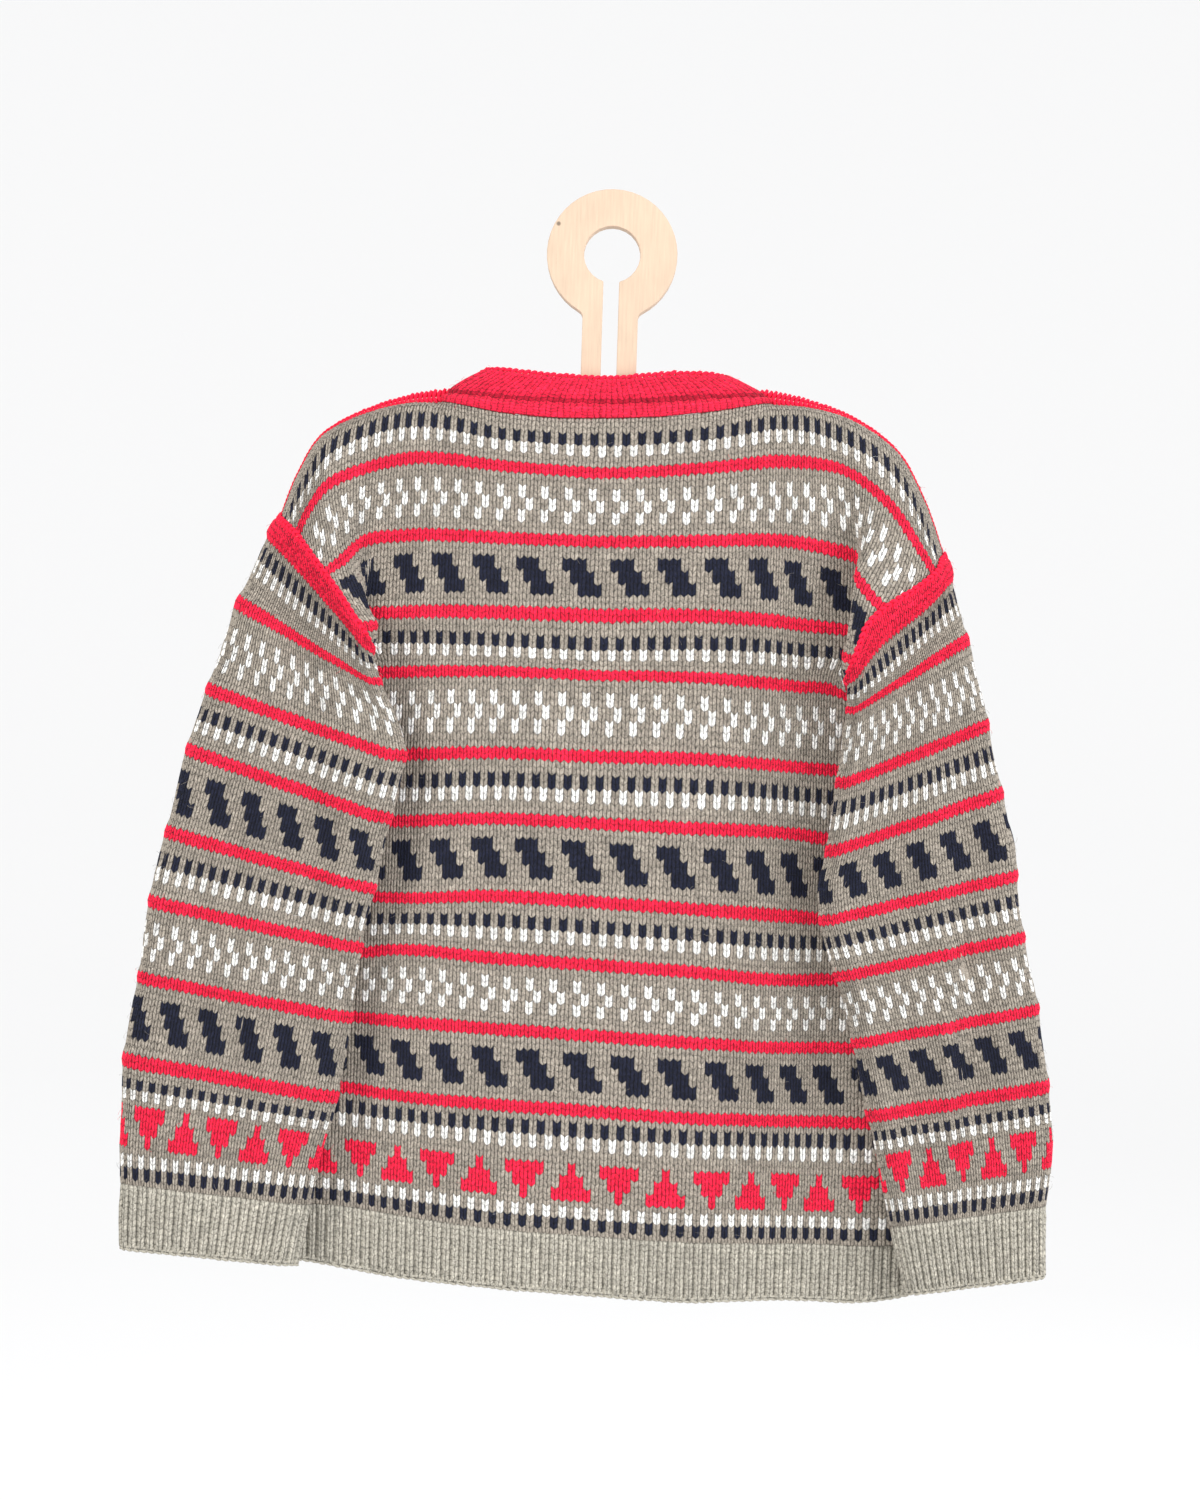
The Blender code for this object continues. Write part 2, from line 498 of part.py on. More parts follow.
def body_and_sleeves(collection):
    """The two panels and both sleeves, with their shared seams."""
    back = back_points()
    front = front_points(back)
    back_out = outward(back, -1)
    front_out = outward(front, 1)

    neck_start, neck_end = NECK_COLUMNS
    shoulders = (slice(0, neck_start + 1), slice(neck_end, None))
    for columns in shoulders:
        out, across = seam_frame(back[0, columns], back[1, columns], front[1, columns], 1)
        back_out[0, columns] = out
        front_out[0, columns] = out
        front[0, columns] = back[0, columns] + GAP * across

    lower = slice(ROWS_TO_UNDERARM, None)
    front_lower = slice(FRONT_UNDERARM_ROW, None)
    for column, beside, turn in ((0, 1, -1), (-1, -2, 1)):
        seam = back[lower, column]
        out, across = seam_frame(seam, back[lower, beside], front[front_lower, beside], turn)
        back_out[lower, column] = out
        front_out[front_lower, column] = out
        front[front_lower, column] = seam + GAP * across

    sleeves = []
    for name, table, column, beside, turn in (
        ("sleeve_left", LEFT_SLEEVE, 0, 1, -1),
        ("sleeve_right", RIGHT_SLEEVE, -1, -2, 1),
    ):
        upper = slice(0, ROWS_TO_UNDERARM + 1)
        rear = slice(FRONT_UNDERARM_ROW - 1, 0, -1)
        seam = np.concatenate((back[upper, column], front[rear, column]))
        beyond = 2 * beside - column
        inside = np.concatenate((
            back[: ROWS_TO_INNER_EDGE + 1, beside],
            back[ROWS_TO_INNER_EDGE + 2 : ROWS_TO_UNDERARM + 1, beyond],
            back[ROWS_TO_UNDERARM + 1 : ROWS_TO_UNDERARM + 2, beside],
            front[rear, beside],
        ))
        shares = ring_shares(seam, ROWS_TO_INNER_EDGE)
        rings = [sleeve_ring(table, cloth, shares) for cloth in SLEEVE_MESH_CLOTH]
        out, across = seam_frame(seam, inside, rings[0], turn, closed=True, valley=True)
        points = np.array([seam + GAP * across] + rings)
        shown = (shares < 0.5) & (shares > 0)
        points[1:, shown, 1] -= fold_height(name, points[1:, shown])
        directions = outward(points, turn, closed=True)
        directions[0] = out
        count = ROWS_TO_UNDERARM + 1
        back_out[upper, column] = out[:count]
        front_out[rear, column] = out[count:]
        front_out[0, column] = out[0]
        front_out[FRONT_UNDERARM_ROW, column] = out[count - 1]
        sleeves.append((name, table, shares, points, directions))

    wall("back_panel", back, back - WALL * back_out, collection, GREY)
    wall("front_panel", front, front - WALL * front_out, collection, GREY)
    for name, table, shares, points, directions in sleeves:
        wall(name, points, points - WALL * directions, collection, GREY, closed=True)
        cuff(name.replace("sleeve", "cuff"), table, shares, points[-1], directions[-1], collection)
    hem("hem_rib_back", back[-1], back_out[-1], np.array(HEM_EDGE), collection)
    hem("hem_rib_front", front[-1], front_out[-1], np.array(FRONT_HEM_EDGE), collection)
    return back, front


def ribbed(points, out, ribs, closed):
    """Points along an edge, two for each rib, with every second one raised."""
    source = np.concatenate((points, points[:1])) if closed else points
    ways = np.concatenate((out, out[:1])) if closed else out
    count = 2 * ribs if closed else 2 * ribs + 1
    lengths = chord_lengths(source)
    at = np.linspace(0, lengths[-1], count, endpoint=not closed)
    line = np.stack([np.interp(at, lengths, source[:, axis]) for axis in range(3)], axis=-1)
    ways = unit(np.stack([np.interp(at, lengths, ways[:, axis]) for axis in range(3)], axis=-1))
    raised = np.where(np.arange(count) % 2 == 1, RIB_RAISE, 0.0)
    return line, ways, raised[:, None]


def hem(name, edge, out, lower_edge, collection):
    """The ribbed band under a panel's lower edge."""
    line, ways, raised = ribbed(edge, out, HEM_RIBS, closed=False)
    top = line - (0, 0, GAP)
    bottom = line.copy()
    bottom[:, 0] *= HEM_NARROWING
    bottom[:, 2] = smooth(lower_edge[:, 0], lower_edge[:, 1], line[:, 0])[:, 0]
    lines = np.array((top, bottom))
    level = np.array((ways, unit(ways * (1, 1, 0))))
    wall(name, lines + level * (raised - RIB_SINK), lines - RIB_WALL * level, collection, RIB_GREY)


def cuff(name, table, shares, edge, out, collection):
    """The ribbed band round a sleeve's lower end."""
    line, ways, raised = ribbed(edge, out, CUFF_RIBS, closed=True)
    lower = sleeve_ring(table, CUFF_BOTTOM_CLOTH, shares)
    low_line, low_ways, _ = ribbed(lower, out, CUFF_RIBS, closed=True)
    ring = line - (0, 0, GAP)
    lines = np.array((ring, low_line))
    level = np.array((ways, unit(low_ways * (1, 1, 0))))
    outer = lines + level * (raised - RIB_SINK)
    wall(name, outer, lines - RIB_WALL * level, collection, RIB_GREY, closed=True)


def neckband(back, front, collection):
    """The band round the neck: plain below, a groove, then ribs up to the edge."""
    start, end = NECK_COLUMNS
    seam = np.concatenate((back[0, start : end + 1], front[0, start : end + 1][::-1][1:-1]))
    count = 2 * NECK_RIBS
    lengths = chord_lengths(np.concatenate((seam, seam[:1])))
    loop = np.concatenate((seam, seam[:1]))
    at = np.linspace(0, lengths[-1], count, endpoint=False)
    base = np.stack([np.interp(at, lengths, loop[:, axis]) for axis in range(3)], axis=-1)
    in_front = at > lengths[end - start]
    share = base[:, 0] / NECK_HALF_WIDTH
    rows = []
    for number, level in enumerate(NECK_LEVELS):
        left_x, left_z, right_x, right_z, z_left, z_middle, z_right, _, half_depth, ribs, lift = level
        x = np.where(share < 0, -share * left_x, share * right_x)
        depth = half_depth * superellipse(share)
        y = np.where(in_front, depth, -depth)
        knots = (left_x, left_x * NECK_KNOT_SHARE, 0, right_x * NECK_KNOT_SHARE, right_x)
        back_z = smooth(knots, (left_z, z_left, z_middle, z_right, right_z), x)
        z = np.where(in_front, front_neck_z(x, level), back_z[:, 0])
        if number == 0:
            x, y, z = base[:, 0], base[:, 1], base[:, 2] + GAP + NECK_SEAM_LIFT
        raised = np.where(np.arange(count) % 2 == 1, RIB_RAISE, 0.0) * ribs + lift
        rows.append((np.stack((x, y, z), axis=-1), raised))
    lines = np.array([points for points, _ in rows])
    lifts = np.array([raised for _, raised in rows])[..., None]
    over = np.roll(lines, -1, axis=1) - np.roll(lines, 1, axis=1)
    level_out = unit(np.stack((over[..., 1], -over[..., 0], np.zeros(over.shape[:2])), axis=-1))
    wall("neckband", lines + lifts * level_out, lines - RIB_WALL * level_out, collection, RED, closed=True)


def arc(centre, radius, start, end, steps):
    angles = np.radians(np.linspace(start, end, steps))
    return [(centre[0] + radius * math.cos(a), centre[1] + radius * math.sin(a)) for a in angles]


def hanger_outline():
    """The hanger's outer outline: ring, legs and arms, with half of it mirrored."""
    fillet_x = LEG_OUTER_X + LEG_FILLET
    fillet_z = RING_CENTRE_Z - math.sqrt((RING_RADIUS + LEG_FILLET) ** 2 - fillet_x**2)
    meet = math.degrees(math.atan2(fillet_z - RING_CENTRE_Z, fillet_x))
    tip_z = ARM_TOP_Z - ARM_DROP - ARM_TIP_RADIUS
    half = arc((0, RING_CENTRE_Z), RING_RADIUS, 90, meet, 20)
    half += arc((fillet_x, fillet_z), LEG_FILLET, meet + 180, 180, 4)[1:]
    half += arc((LEG_OUTER_X + ARM_FILLET, ARM_TOP_Z + ARM_FILLET_RISE), ARM_FILLET, 180, 262, 5)
    half += [(ARM_REACH * share, ARM_TOP_Z - ARM_DROP * share**3) for share in ARM_TOP_SHARES]
    half += arc((ARM_REACH, tip_z), ARM_TIP_RADIUS, 78, -90, 8)
    under_rise = tip_z - ARM_TIP_RADIUS - ARM_ROOT_BOTTOM_Z
    half += [(ARM_REACH * share, ARM_ROOT_BOTTOM_Z + under_rise * share**2) for share in ARM_UNDER_SHARES]
    half += [(0, ARM_ROOT_BOTTOM_Z)]
    mirrored = [(-x, z) for x, z in reversed(half[1:-1])]
    return half + mirrored


def keyhole():
    """The hole in the ring and the slot that runs down from it between the legs."""
    half_slot = SLOT_WIDTH / 2
    meet = math.degrees(math.acos(half_slot / HOLE_RADIUS))
    points = arc((0, RING_CENTRE_Z), HOLE_RADIUS, -meet, 180 + meet, 25)
    points += arc((0, SLOT_BOTTOM_Z + half_slot), half_slot, 180, 360, 7)
    return points


def hanger(collection):
    """The flat hanger, cut from one board."""
    curve = bpy.data.curves.new("hanger_outline", "CURVE")
    curve.dimensions = "2D"
    curve.fill_mode = "BOTH"
    curve.extrude = HANGER_THICKNESS / 2 * MM
    for outline in (hanger_outline(), keyhole()):
        spline = curve.splines.new("POLY")
        spline.points.add(len(outline) - 1)
        spline.use_cyclic_u = True
        for point, (x, z) in zip(spline.points, outline):
            point.co = (x * MM, (z - TABLE_ZERO[2]) * MM, 0, 1)
    shape = bpy.data.objects.new("hanger_outline", curve)
    collection.objects.link(shape)
    shape.rotation_euler = (math.pi / 2, 0, 0)
    bpy.context.view_layer.update()
    evaluated = shape.evaluated_get(bpy.context.evaluated_depsgraph_get())
    mesh = bpy.data.meshes.new_from_object(evaluated)
    build = bmesh.new()
    build.from_mesh(mesh)
    bmesh.ops.transform(build, matrix=shape.matrix_world, verts=build.verts)
    bmesh.ops.remove_doubles(build, verts=build.verts, dist=0.00002)
    bmesh.ops.recalc_face_normals(build, faces=build.faces)
    build.to_mesh(mesh)
    build.free()
    mesh.name = "hanger"
    bpy.data.objects.remove(shape)
    board = add_piece("hanger", mesh, collection, BIRCH, 0.6)
    bevel = board.modifiers.new("rounded_edges", "BEVEL")
    bevel.width = 1.2 * MM
    bevel.segments = 1
    bevel.limit_method = "ANGLE"
    bevel.angle_limit = math.radians(60)
    return board


def main():
    for thing in list(bpy.data.objects):
        bpy.data.objects.remove(thing)
    collection = bpy.data.collections.new("wool_sweater_on_hanger")
    bpy.context.scene.collection.children.link(collection)
    back, front = body_and_sleeves(collection)
    neckband(back, front, collection)
    hanger(collection)


main()
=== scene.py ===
# %% [markdown]
# # A child's knitted sweater on a flat wooden hanger
#
# This lesson dresses a plain model of a hanging sweater. The plain model has the right walls in the right
# places. What it lacks is the knitting: stitches, coloured bands, ribs, seams and small creases. Each step
# makes one of those. Everything is in metres, and the origin is the pin that the hanger hangs on.

# %% Load the frame
import math

import bmesh
import bpy
import numpy as np
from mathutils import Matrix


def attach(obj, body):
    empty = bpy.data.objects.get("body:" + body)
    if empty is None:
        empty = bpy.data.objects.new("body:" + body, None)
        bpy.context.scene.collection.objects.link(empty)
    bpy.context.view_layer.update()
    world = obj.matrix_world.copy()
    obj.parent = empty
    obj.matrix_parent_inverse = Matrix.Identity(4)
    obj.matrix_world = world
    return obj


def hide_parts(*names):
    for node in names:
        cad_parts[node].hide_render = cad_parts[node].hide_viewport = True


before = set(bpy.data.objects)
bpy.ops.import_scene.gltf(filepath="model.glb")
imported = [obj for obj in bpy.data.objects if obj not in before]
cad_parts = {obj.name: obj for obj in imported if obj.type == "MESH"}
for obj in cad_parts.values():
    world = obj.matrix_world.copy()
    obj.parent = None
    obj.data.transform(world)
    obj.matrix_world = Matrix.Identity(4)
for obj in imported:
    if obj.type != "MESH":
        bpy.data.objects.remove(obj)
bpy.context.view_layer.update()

print("frame:", sorted(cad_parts))

# %% [markdown]
# ## The shape of the cloth, in tables
#
# Cloth that hangs has no simple formula, but it does have rows. A few measured points on each row say where
# the cloth lies, and a smooth curve through them gives every stitch its place. The tables are in
# millimetres, in a frame whose zero is TABLE_ZERO away from the origin. They are those of the solids.

# %% Tables of the body
MM = 0.001
TABLE_ZERO = np.array((0.5, 0.0, 3.6))
NECK_HALF_WIDTH = 84.0
NECK_HALF_DEPTH = 11.5
NECK_SQUARENESS = 8
HEM_RIBS = 79
CUFF_RIBS = 44
NECK_RIBS = 64

# fabric, y_side, y_mid, z_m100, z_m50, z_0, z_50, z_100
BACK_ROWS = (
    (89, -0.2, -11.5, -88.5, -93.4, -94.3, -89.8, -84),
    (97, -8, -11.7, -91, -98.6, -99.5, -95, -87),
    (105, -10.6, -11.8, -100.5, -105.5, -107, -102.5, -96),
    (122, -11.6, -12, -118, -120, -122, -118, -113.5),
    (139, -12.2, -12.4, -137.5, -138, -139, -136.5, -134),
    (156.5, -12.6, -12.6, -156.5, -156, -156.5, -154.5, -154),
    (175, -13, -12.8, -175.5, -174.5, -174.8, -172.5, -174),
    (193.5, -13, -12.8, -195, -193.3, -193.5, -192, -195),
    (206, -13, -12.6, -208, -208, -208.7, -206.5, -208),
    (223.5, -13, -12.4, -225, -223, -223.5, -223, -226),
    (244, -13, -12.4, -245, -243, -243, -243, -246),
    (264.5, -13, -12.2, -266.5, -264, -264.5, -264, -266.5),
    (298.5, -12.8, -12, -300, -297, -298, -299, -300),
    (338, -12.6, -12, -338.5, -336, -337.5, -339.5, -341.5),
    (369, -12.4, -12, -364.5, -367, -369, -371, -373.5),
    (404.5, -12.2, -12, -400, -402.5, -404.5, -406.5, -407.5),
    (442.5, -12, -12, -437, -440.5, -442.5, -444.5, -444.5),
    (479, -12, -12, -471, -476, -479, -480.5, -480),
    (505.5, -12, -12, -497, -503, -505.5, -507.3, -506.5),
)
# fabric, valley x, y, z, flap x, y, z, edge x, y, z
LEFT_SIDE = (
    (89, -122, -0.2, -94.3, -142.5, -0.2, -105.5, -163, -2, -149),
    (97, -120.5, -7.8, -97.5, -140.5, -8.6, -108.5, -161.5, -9, -150.5),
    (105, -119.5, -10.8, -105.5, -138.5, -13, -115.5, -159, -15, -152.5),
    (122, -120, -12.4, -123.5, -140, -18, -134, -152, -24, -158.5),
    (139, -119.5, -13.4, -141, -132, -23, -150, -144, -31, -168),
    (156.5, -120, -14, -160, -127.5, -27, -169, -136.5, -35, -177.5),
    (175, -117, -14, -179, -119, -30, -185, -128, -38, -188.5),
    (193.5, -120, -14, -197, -112, -30, -203, -118.5, -38, -204),
    (206, -120, -14, -209, -111, -27, -212, -114, -33.5, -214.5),
    (213, -118, -13.6, -216, -115.5, -18.5, -220.5, -121, -23, -223),
    (221, -113, -13.2, -223.5, -125, -14.4, -226, -138, -15.6, -228),
    (231, -112, -13.2, -233, -134, -13.6, -234, -158, -8, -234),
    (244, -113, -13.2, -246.5, -141, -13.2, -247, -162.5, -4, -247),
    (264.5, -115, -13.2, -267, -152, -13, -267, -166, -2, -267),
    (338, -115, -12.8, -338, -159, -12.2, -337, -170, -1, -336),
    (404.5, -116, -12.2, -399, -162, -11.8, -396.5, -172, -1, -395),
    (505.5, -118, -12, -494.5, -163, -11.6, -490.5, -173, -1, -488.5),
)
RIGHT_SIDE = (
    (89, 122, -0.2, -89, 146.5, -0.2, -104, 173, -2, -158),
    (97, 120.5, -7.8, -92.5, 144, -8.6, -107.5, 171.5, -9, -159.5),
    (105, 119.5, -10.8, -101.5, 141.5, -13, -114, 169.5, -15, -161.5),
    (122, 121, -12.4, -117, 142, -18, -133, 166, -24, -168),
    (139, 126, -13.4, -138, 133, -23, -149, 154, -31, -177.5),
    (156.5, 129, -14, -162, 126.5, -28, -170, 140, -35, -187),
    (175, 130, -14, -182, 124.5, -30, -192, 131, -38, -197.5),
    (193.5, 129, -14, -200, 122.5, -30, -211, 127, -38, -213),
    (206, 126, -14, -212, 121.5, -26, -219, 124.5, -33, -221.5),
    (213, 122, -13.6, -218, 123, -18.5, -225.5, 128, -23, -229.5),
    (221, 118, -13.2, -225, 130, -14.4, -231, 143, -15.6, -234),
    (231, 117, -13.2, -234, 140, -13.6, -239, 165, -8, -240),
    (244, 118, -13.2, -247, 145, -13.2, -249, 168, -4, -250),
    (264.5, 119, -13.2, -267.5, 156, -13, -268, 170, -2, -268),
    (338, 119, -12.8, -342.5, 161, -12.2, -343, 172, -1, -343),
    (404.5, 119, -12.2, -407, 164, -11.8, -406, 174, -1, -405),
    (505.5, 119, -12, -506, 165, -11.6, -504.5, 175, -1, -503),
)
SHOULDER_ROWS = (
    89, 97, 105, 113.5, 122, 130.5, 139, 147.5, 156.5, 166, 175, 184, 193.5, 206,
)
UNDERARM_ROWS = (213.0, 221.0, 231.0)
LOWER_ROWS = (
    244, 264.5, 281, 298.5, 318, 338, 353, 369,
    387, 404.5, 424, 442.5, 461, 479, 505.5,
)
BACK_MESH_ROWS = SHOULDER_ROWS + UNDERARM_ROWS + LOWER_ROWS
ROWS_TO_INNER_EDGE = len(SHOULDER_ROWS) - 1
ROWS_TO_UNDERARM = ROWS_TO_INNER_EDGE + len(UNDERARM_ROWS)
# Places along a row, as its knots are counted: 0 is the left edge, 5 the centre line, 10 the right edge.
BACK_MESH_COLUMNS = (
    0, 0.5, 1, 1.5, 2, 3, 3.32, 3.42, 3.6, 3.88, 4.44, 5,
    5.56, 6.12, 6.4, 6.58, 6.68, 7, 8, 8.5, 9, 9.5, 10,
)
NECK_COLUMNS = (6, 16)

# The front panel's armhole edge, from the shoulder point to the underarm.
# fabric, left x, y, z, right x, y, z
FRONT_ARMHOLE = (
    (89, -163, -1.6, -149, 173, -1.6, -158),
    (97, -163.5, 0.5, -157, 173.5, 0.5, -166),
    (105, -163.5, 2, -166, 173.5, 2, -175),
    (125, -163.5, 2.6, -177, 173.5, 2.6, -186),
    (145, -163, 2, -189, 173, 2, -197),
    (165, -162.5, 0, -201, 172, 0, -208),
    (185, -161.5, -2.5, -212.5, 170.5, -2.5, -219),
    (206, -160, -5.4, -223.5, 168, -5.4, -229.5),
    (231, -158, -7.6, -234, 165, -7.6, -240),
)
FRONT_UNDERARM_ROW = 8
FRONT_MESH_ROWS = (89.0, 97.0, 105.0, 125.0, 145.0, 165.0, 185.0, 206.0) + BACK_MESH_ROWS[ROWS_TO_UNDERARM:]
FRONT_DEPTH = 11.5
FRONT_HEM_Z = -499.0
FRONT_NECK_POWER = 2.6
FRONT_SIDE_POWER = 6
SIDE_ROUND = 14.0
NECK_ROLL = 6.0
# How the front panel rolls over the shoulder. fabric, share of the way down, y
FRONT_ROLL = (
    (89, 0, 0.2),
    (97, 0.0080, 8.2),
    (105, 0.030, 10.6),
    (125, 0.085, 11.5),
    (505.5, 1, 11.5),
)

# %% Tables of the sleeves, the bands and the folds
# Sleeve sections. cloth: distance down from the seam. outer and inner: the edges of the flattened tube.
# sag: how far the hidden side hangs under the line between the edges.
# cloth, outer x, y, z, inner x, y, z, depth, sag
LEFT_SLEEVE = (
    (18, -171.5, -11, -169, -111.5, -31, -224, 17, 41),
    (38, -181, -16, -193, -108, -30, -233, 18, 38),
    (58, -188.5, -20, -215, -100, -29.5, -248, 18, 33),
    (80, -195, -22, -236.5, -94.5, -29, -269, 17, 28),
    (96, -199, -23, -252, -98, -28.5, -284, 17, 23),
    (112, -203, -23, -267, -101.5, -28.5, -299.5, 16.5, 18),
    (131, -208, -23.5, -288, -104.5, -28, -317, 16.5, 13),
    (150, -213, -23.5, -308, -108, -28, -334, 16, 8),
    (183, -220, -23.5, -343, -114, -27.5, -363, 16, 2),
    (220, -224.5, -23.5, -381, -117, -27, -398, 16, 0),
    (261, -229.5, -23.5, -421, -123.5, -26.5, -437, 16, 0),
    (288, -231, -23.5, -456, -130, -26, -466, 15.5, 0),
    (321, -230, -23.5, -484.5, -134.5, -26, -492, 15, 0),
    (350, -229.5, -23.5, -515.5, -140, -26, -521, 14.5, 0),
)
RIGHT_SLEEVE = (
    (18, 178.5, -11, -180, 125, -31, -231, 17, 41),
    (38, 183.5, -16, -200, 125, -30, -239, 18, 38),
    (58, 190, -20, -222, 123, -29.5, -255, 18, 33),
    (80, 194.5, -22, -242.5, 121, -29, -275, 17, 28),
    (96, 198.5, -23, -260, 119.5, -28.5, -291, 17, 23),
    (112, 203, -23, -276, 116, -28.5, -309, 16.5, 18),
    (131, 208, -23.5, -297, 112.5, -28, -326, 16.5, 13),
    (150, 211, -23.5, -317, 114, -28, -343, 16, 8),
    (183, 216.5, -23.5, -347, 123, -27.5, -370, 16, 2),
    (220, 224.5, -23.5, -383, 132.5, -27, -403, 16, 0),
    (261, 230.5, -23.5, -420, 141, -26.5, -437.5, 16, 0),
    (288, 234, -23.5, -453, 148.5, -26, -469, 15.5, 0),
    (321, 231.5, -23.5, -481, 154, -26, -494, 15, 0),
    (350, 231.5, -23.5, -515.5, 162, -26, -526, 14.5, 0),
)
SLEEVE_MESH_CLOTH = (
    18, 38, 58, 80, 96, 112, 131, 150,
    172, 196, 220, 246, 272, 296, 320.7,
)
CUFF_BOTTOM_CLOTH = 350.0
SAG_LEAN = 0.8
SAG_POWER = 0.75
BEND_POINTS = 9

# The hem's lower edge. x, z
HEM_EDGE = (
    (-176, -515),
    (-130, -522),
    (-100, -527),
    (-50, -531.5),
    (0, -534),
    (50, -536),
    (100, -533.5),
    (150, -532),
    (176, -527),
)
FRONT_HEM_EDGE = ((-176.0, -513.0), (-130.0, -519.0), (0.0, -529.0), (176.0, -525.0))
HEM_NARROWING = 0.998

# The neckband's levels, from its lower edge up, with its ends at the left and right.
# left x, z, right x, z, back z at the left, the middle and the right, front z, half depth
NECK_LEVELS = (
    (-84, -87.2, 84, -82.9, -93.4, -94.3, -89.8, -137, 11.5),
    (-82.8, -83.2, 82.5, -80.2, -87, -87.8, -84, -129, 11.3),
    (-82, -82, 81.5, -79.2, -85.2, -86, -82.4, -127, 11.1),
    (-80.5, -80.8, 79.5, -78.2, -83.6, -84.2, -80.6, -125, 11),
    (-62.5, -70.5, 61.5, -70.5, -73.2, -74.5, -71, -114, 10.6),
)
# Where the band's left and right back heights are given, as a share of the way to its ends.
NECK_KNOT_SHARE = 0.6

# Large folds of the cloth. Each is a soft ridge (+) or trough (-) along a line of x, z points.
# piece, height, half width, points
FOLDS = (
    ("back_panel", 2.6, 13, ((84, -175), (90, -240), (91, -330), (88, -420))),
    ("back_panel", -2.2, 12, ((108, -160), (110, -240), (112, -340), (112, -430))),
    ("back_panel", -1.8, 11, ((-103, -170), (-100, -250), (-106, -340))),
    ("back_panel", 1.4, 14, ((-62, -150), (-70, -230), (-78, -330), (-84, -440))),
    ("front_panel", 2, 15, ((-58, -170), (-74, -300), (-86, -450))),
    ("front_panel", -2, 16, ((64, -160), (78, -280), (96, -440))),
    ("sleeve_left", -3.6, 9, ((-152, -203), (-141, -240), (-138, -300), (-138, -360))),
    ("sleeve_left", 1.8, 12, ((-163, -225), (-168, -300), (-178, -390))),
    ("sleeve_right", 2.6, 9, ((166, -212), (168, -290), (175, -370), (183, -440))),
    ("sleeve_right", -2.6, 8, ((180, -235), (186, -310), (193, -390), (194, -455))),
)
FOLD_FADE = 26.0
print("tables:", len(BACK_ROWS), "rows of the back,", len(LEFT_SLEEVE), "sections of each sleeve")

# %% [markdown]
# ## From tables to surfaces
#
# These helpers turn the tables into grids of points. A grid has a row of points for each measured row, and
# the same number of points in every row, so that later steps can put finer rows between them.

# %% Curves, folds and outlines
TINY = 1e-9


def unit(vectors):
    lengths = np.linalg.norm(vectors, axis=-1, keepdims=True)
    return vectors / np.maximum(lengths, TINY)


def smooth(knots, values, at):
    """A smooth curve through values at uneven knots, read at each place in at."""
    knots = np.asarray(knots, float)
    values = np.asarray(values, float)
    values = values.reshape(len(knots), -1)
    slopes = np.gradient(values, knots, axis=0)
    at = np.clip(np.atleast_1d(np.asarray(at, float)), knots[0], knots[-1])
    index = np.clip(np.searchsorted(knots, at, side="right") - 1, 0, len(knots) - 2)
    span = (knots[index + 1] - knots[index])[:, None]
    t = (at[:, None] - knots[index][:, None]) / span
    start = (2 * t**3 - 3 * t**2 + 1) * values[index] + (t**3 - 2 * t**2 + t) * span * slopes[index]
    end = (3 * t**2 - 2 * t**3) * values[index + 1] + (t**3 - t**2) * span * slopes[index + 1]
    return start + end


def chord_lengths(points):
    steps = np.linalg.norm(np.diff(points, axis=0), axis=1)
    return np.concatenate(([0.0], np.cumsum(steps)))


def fold_height(piece, points, table=FOLDS):
    """How far the folds of a piece in a table lift its cloth at each point."""
    height = np.zeros(points.shape[:-1])
    for owner, rise, half_width, line in table:
        if owner != piece:
            continue
        nearest = np.full(height.shape, np.inf)
        for start, end in zip(np.array(line[:-1]), np.array(line[1:])):
            run = end - start
            offset = points[..., (0, 2)] - start
            share = np.clip((offset @ run) / (run @ run), 0, 1)
            nearest = np.minimum(nearest, np.linalg.norm(offset - share[..., None] * run, axis=-1))
        ends = np.clip((line[0][1] + FOLD_FADE - points[..., 2]) / FOLD_FADE, 0, 1)
        ends = ends * np.clip((points[..., 2] - line[-1][1] + FOLD_FADE) / FOLD_FADE, 0, 1)
        height += rise * np.exp(-((nearest / half_width) ** 2)) * ends
    return height


def superellipse(share):
    return np.sqrt(np.maximum(1 - np.abs(share) ** NECK_SQUARENESS, 0))


def back_neck_z(x):
    left_x, left_z, right_x, right_z, *heights = NECK_LEVELS[0][:7]
    return smooth((left_x, -50, 0, 50, right_x), (left_z, *heights, right_z), x)[:, 0]


def front_neck_z(x, level=NECK_LEVELS[0]):
    left_x, left_z, right_x, right_z = level[:4]
    middle_z = level[7]
    share = np.clip(np.where(x < 0, x / left_x, x / right_x), 0, 1)
    corner_z = np.where(x < 0, left_z, right_z)
    return middle_z + (corner_z - middle_z) * share**FRONT_NECK_POWER

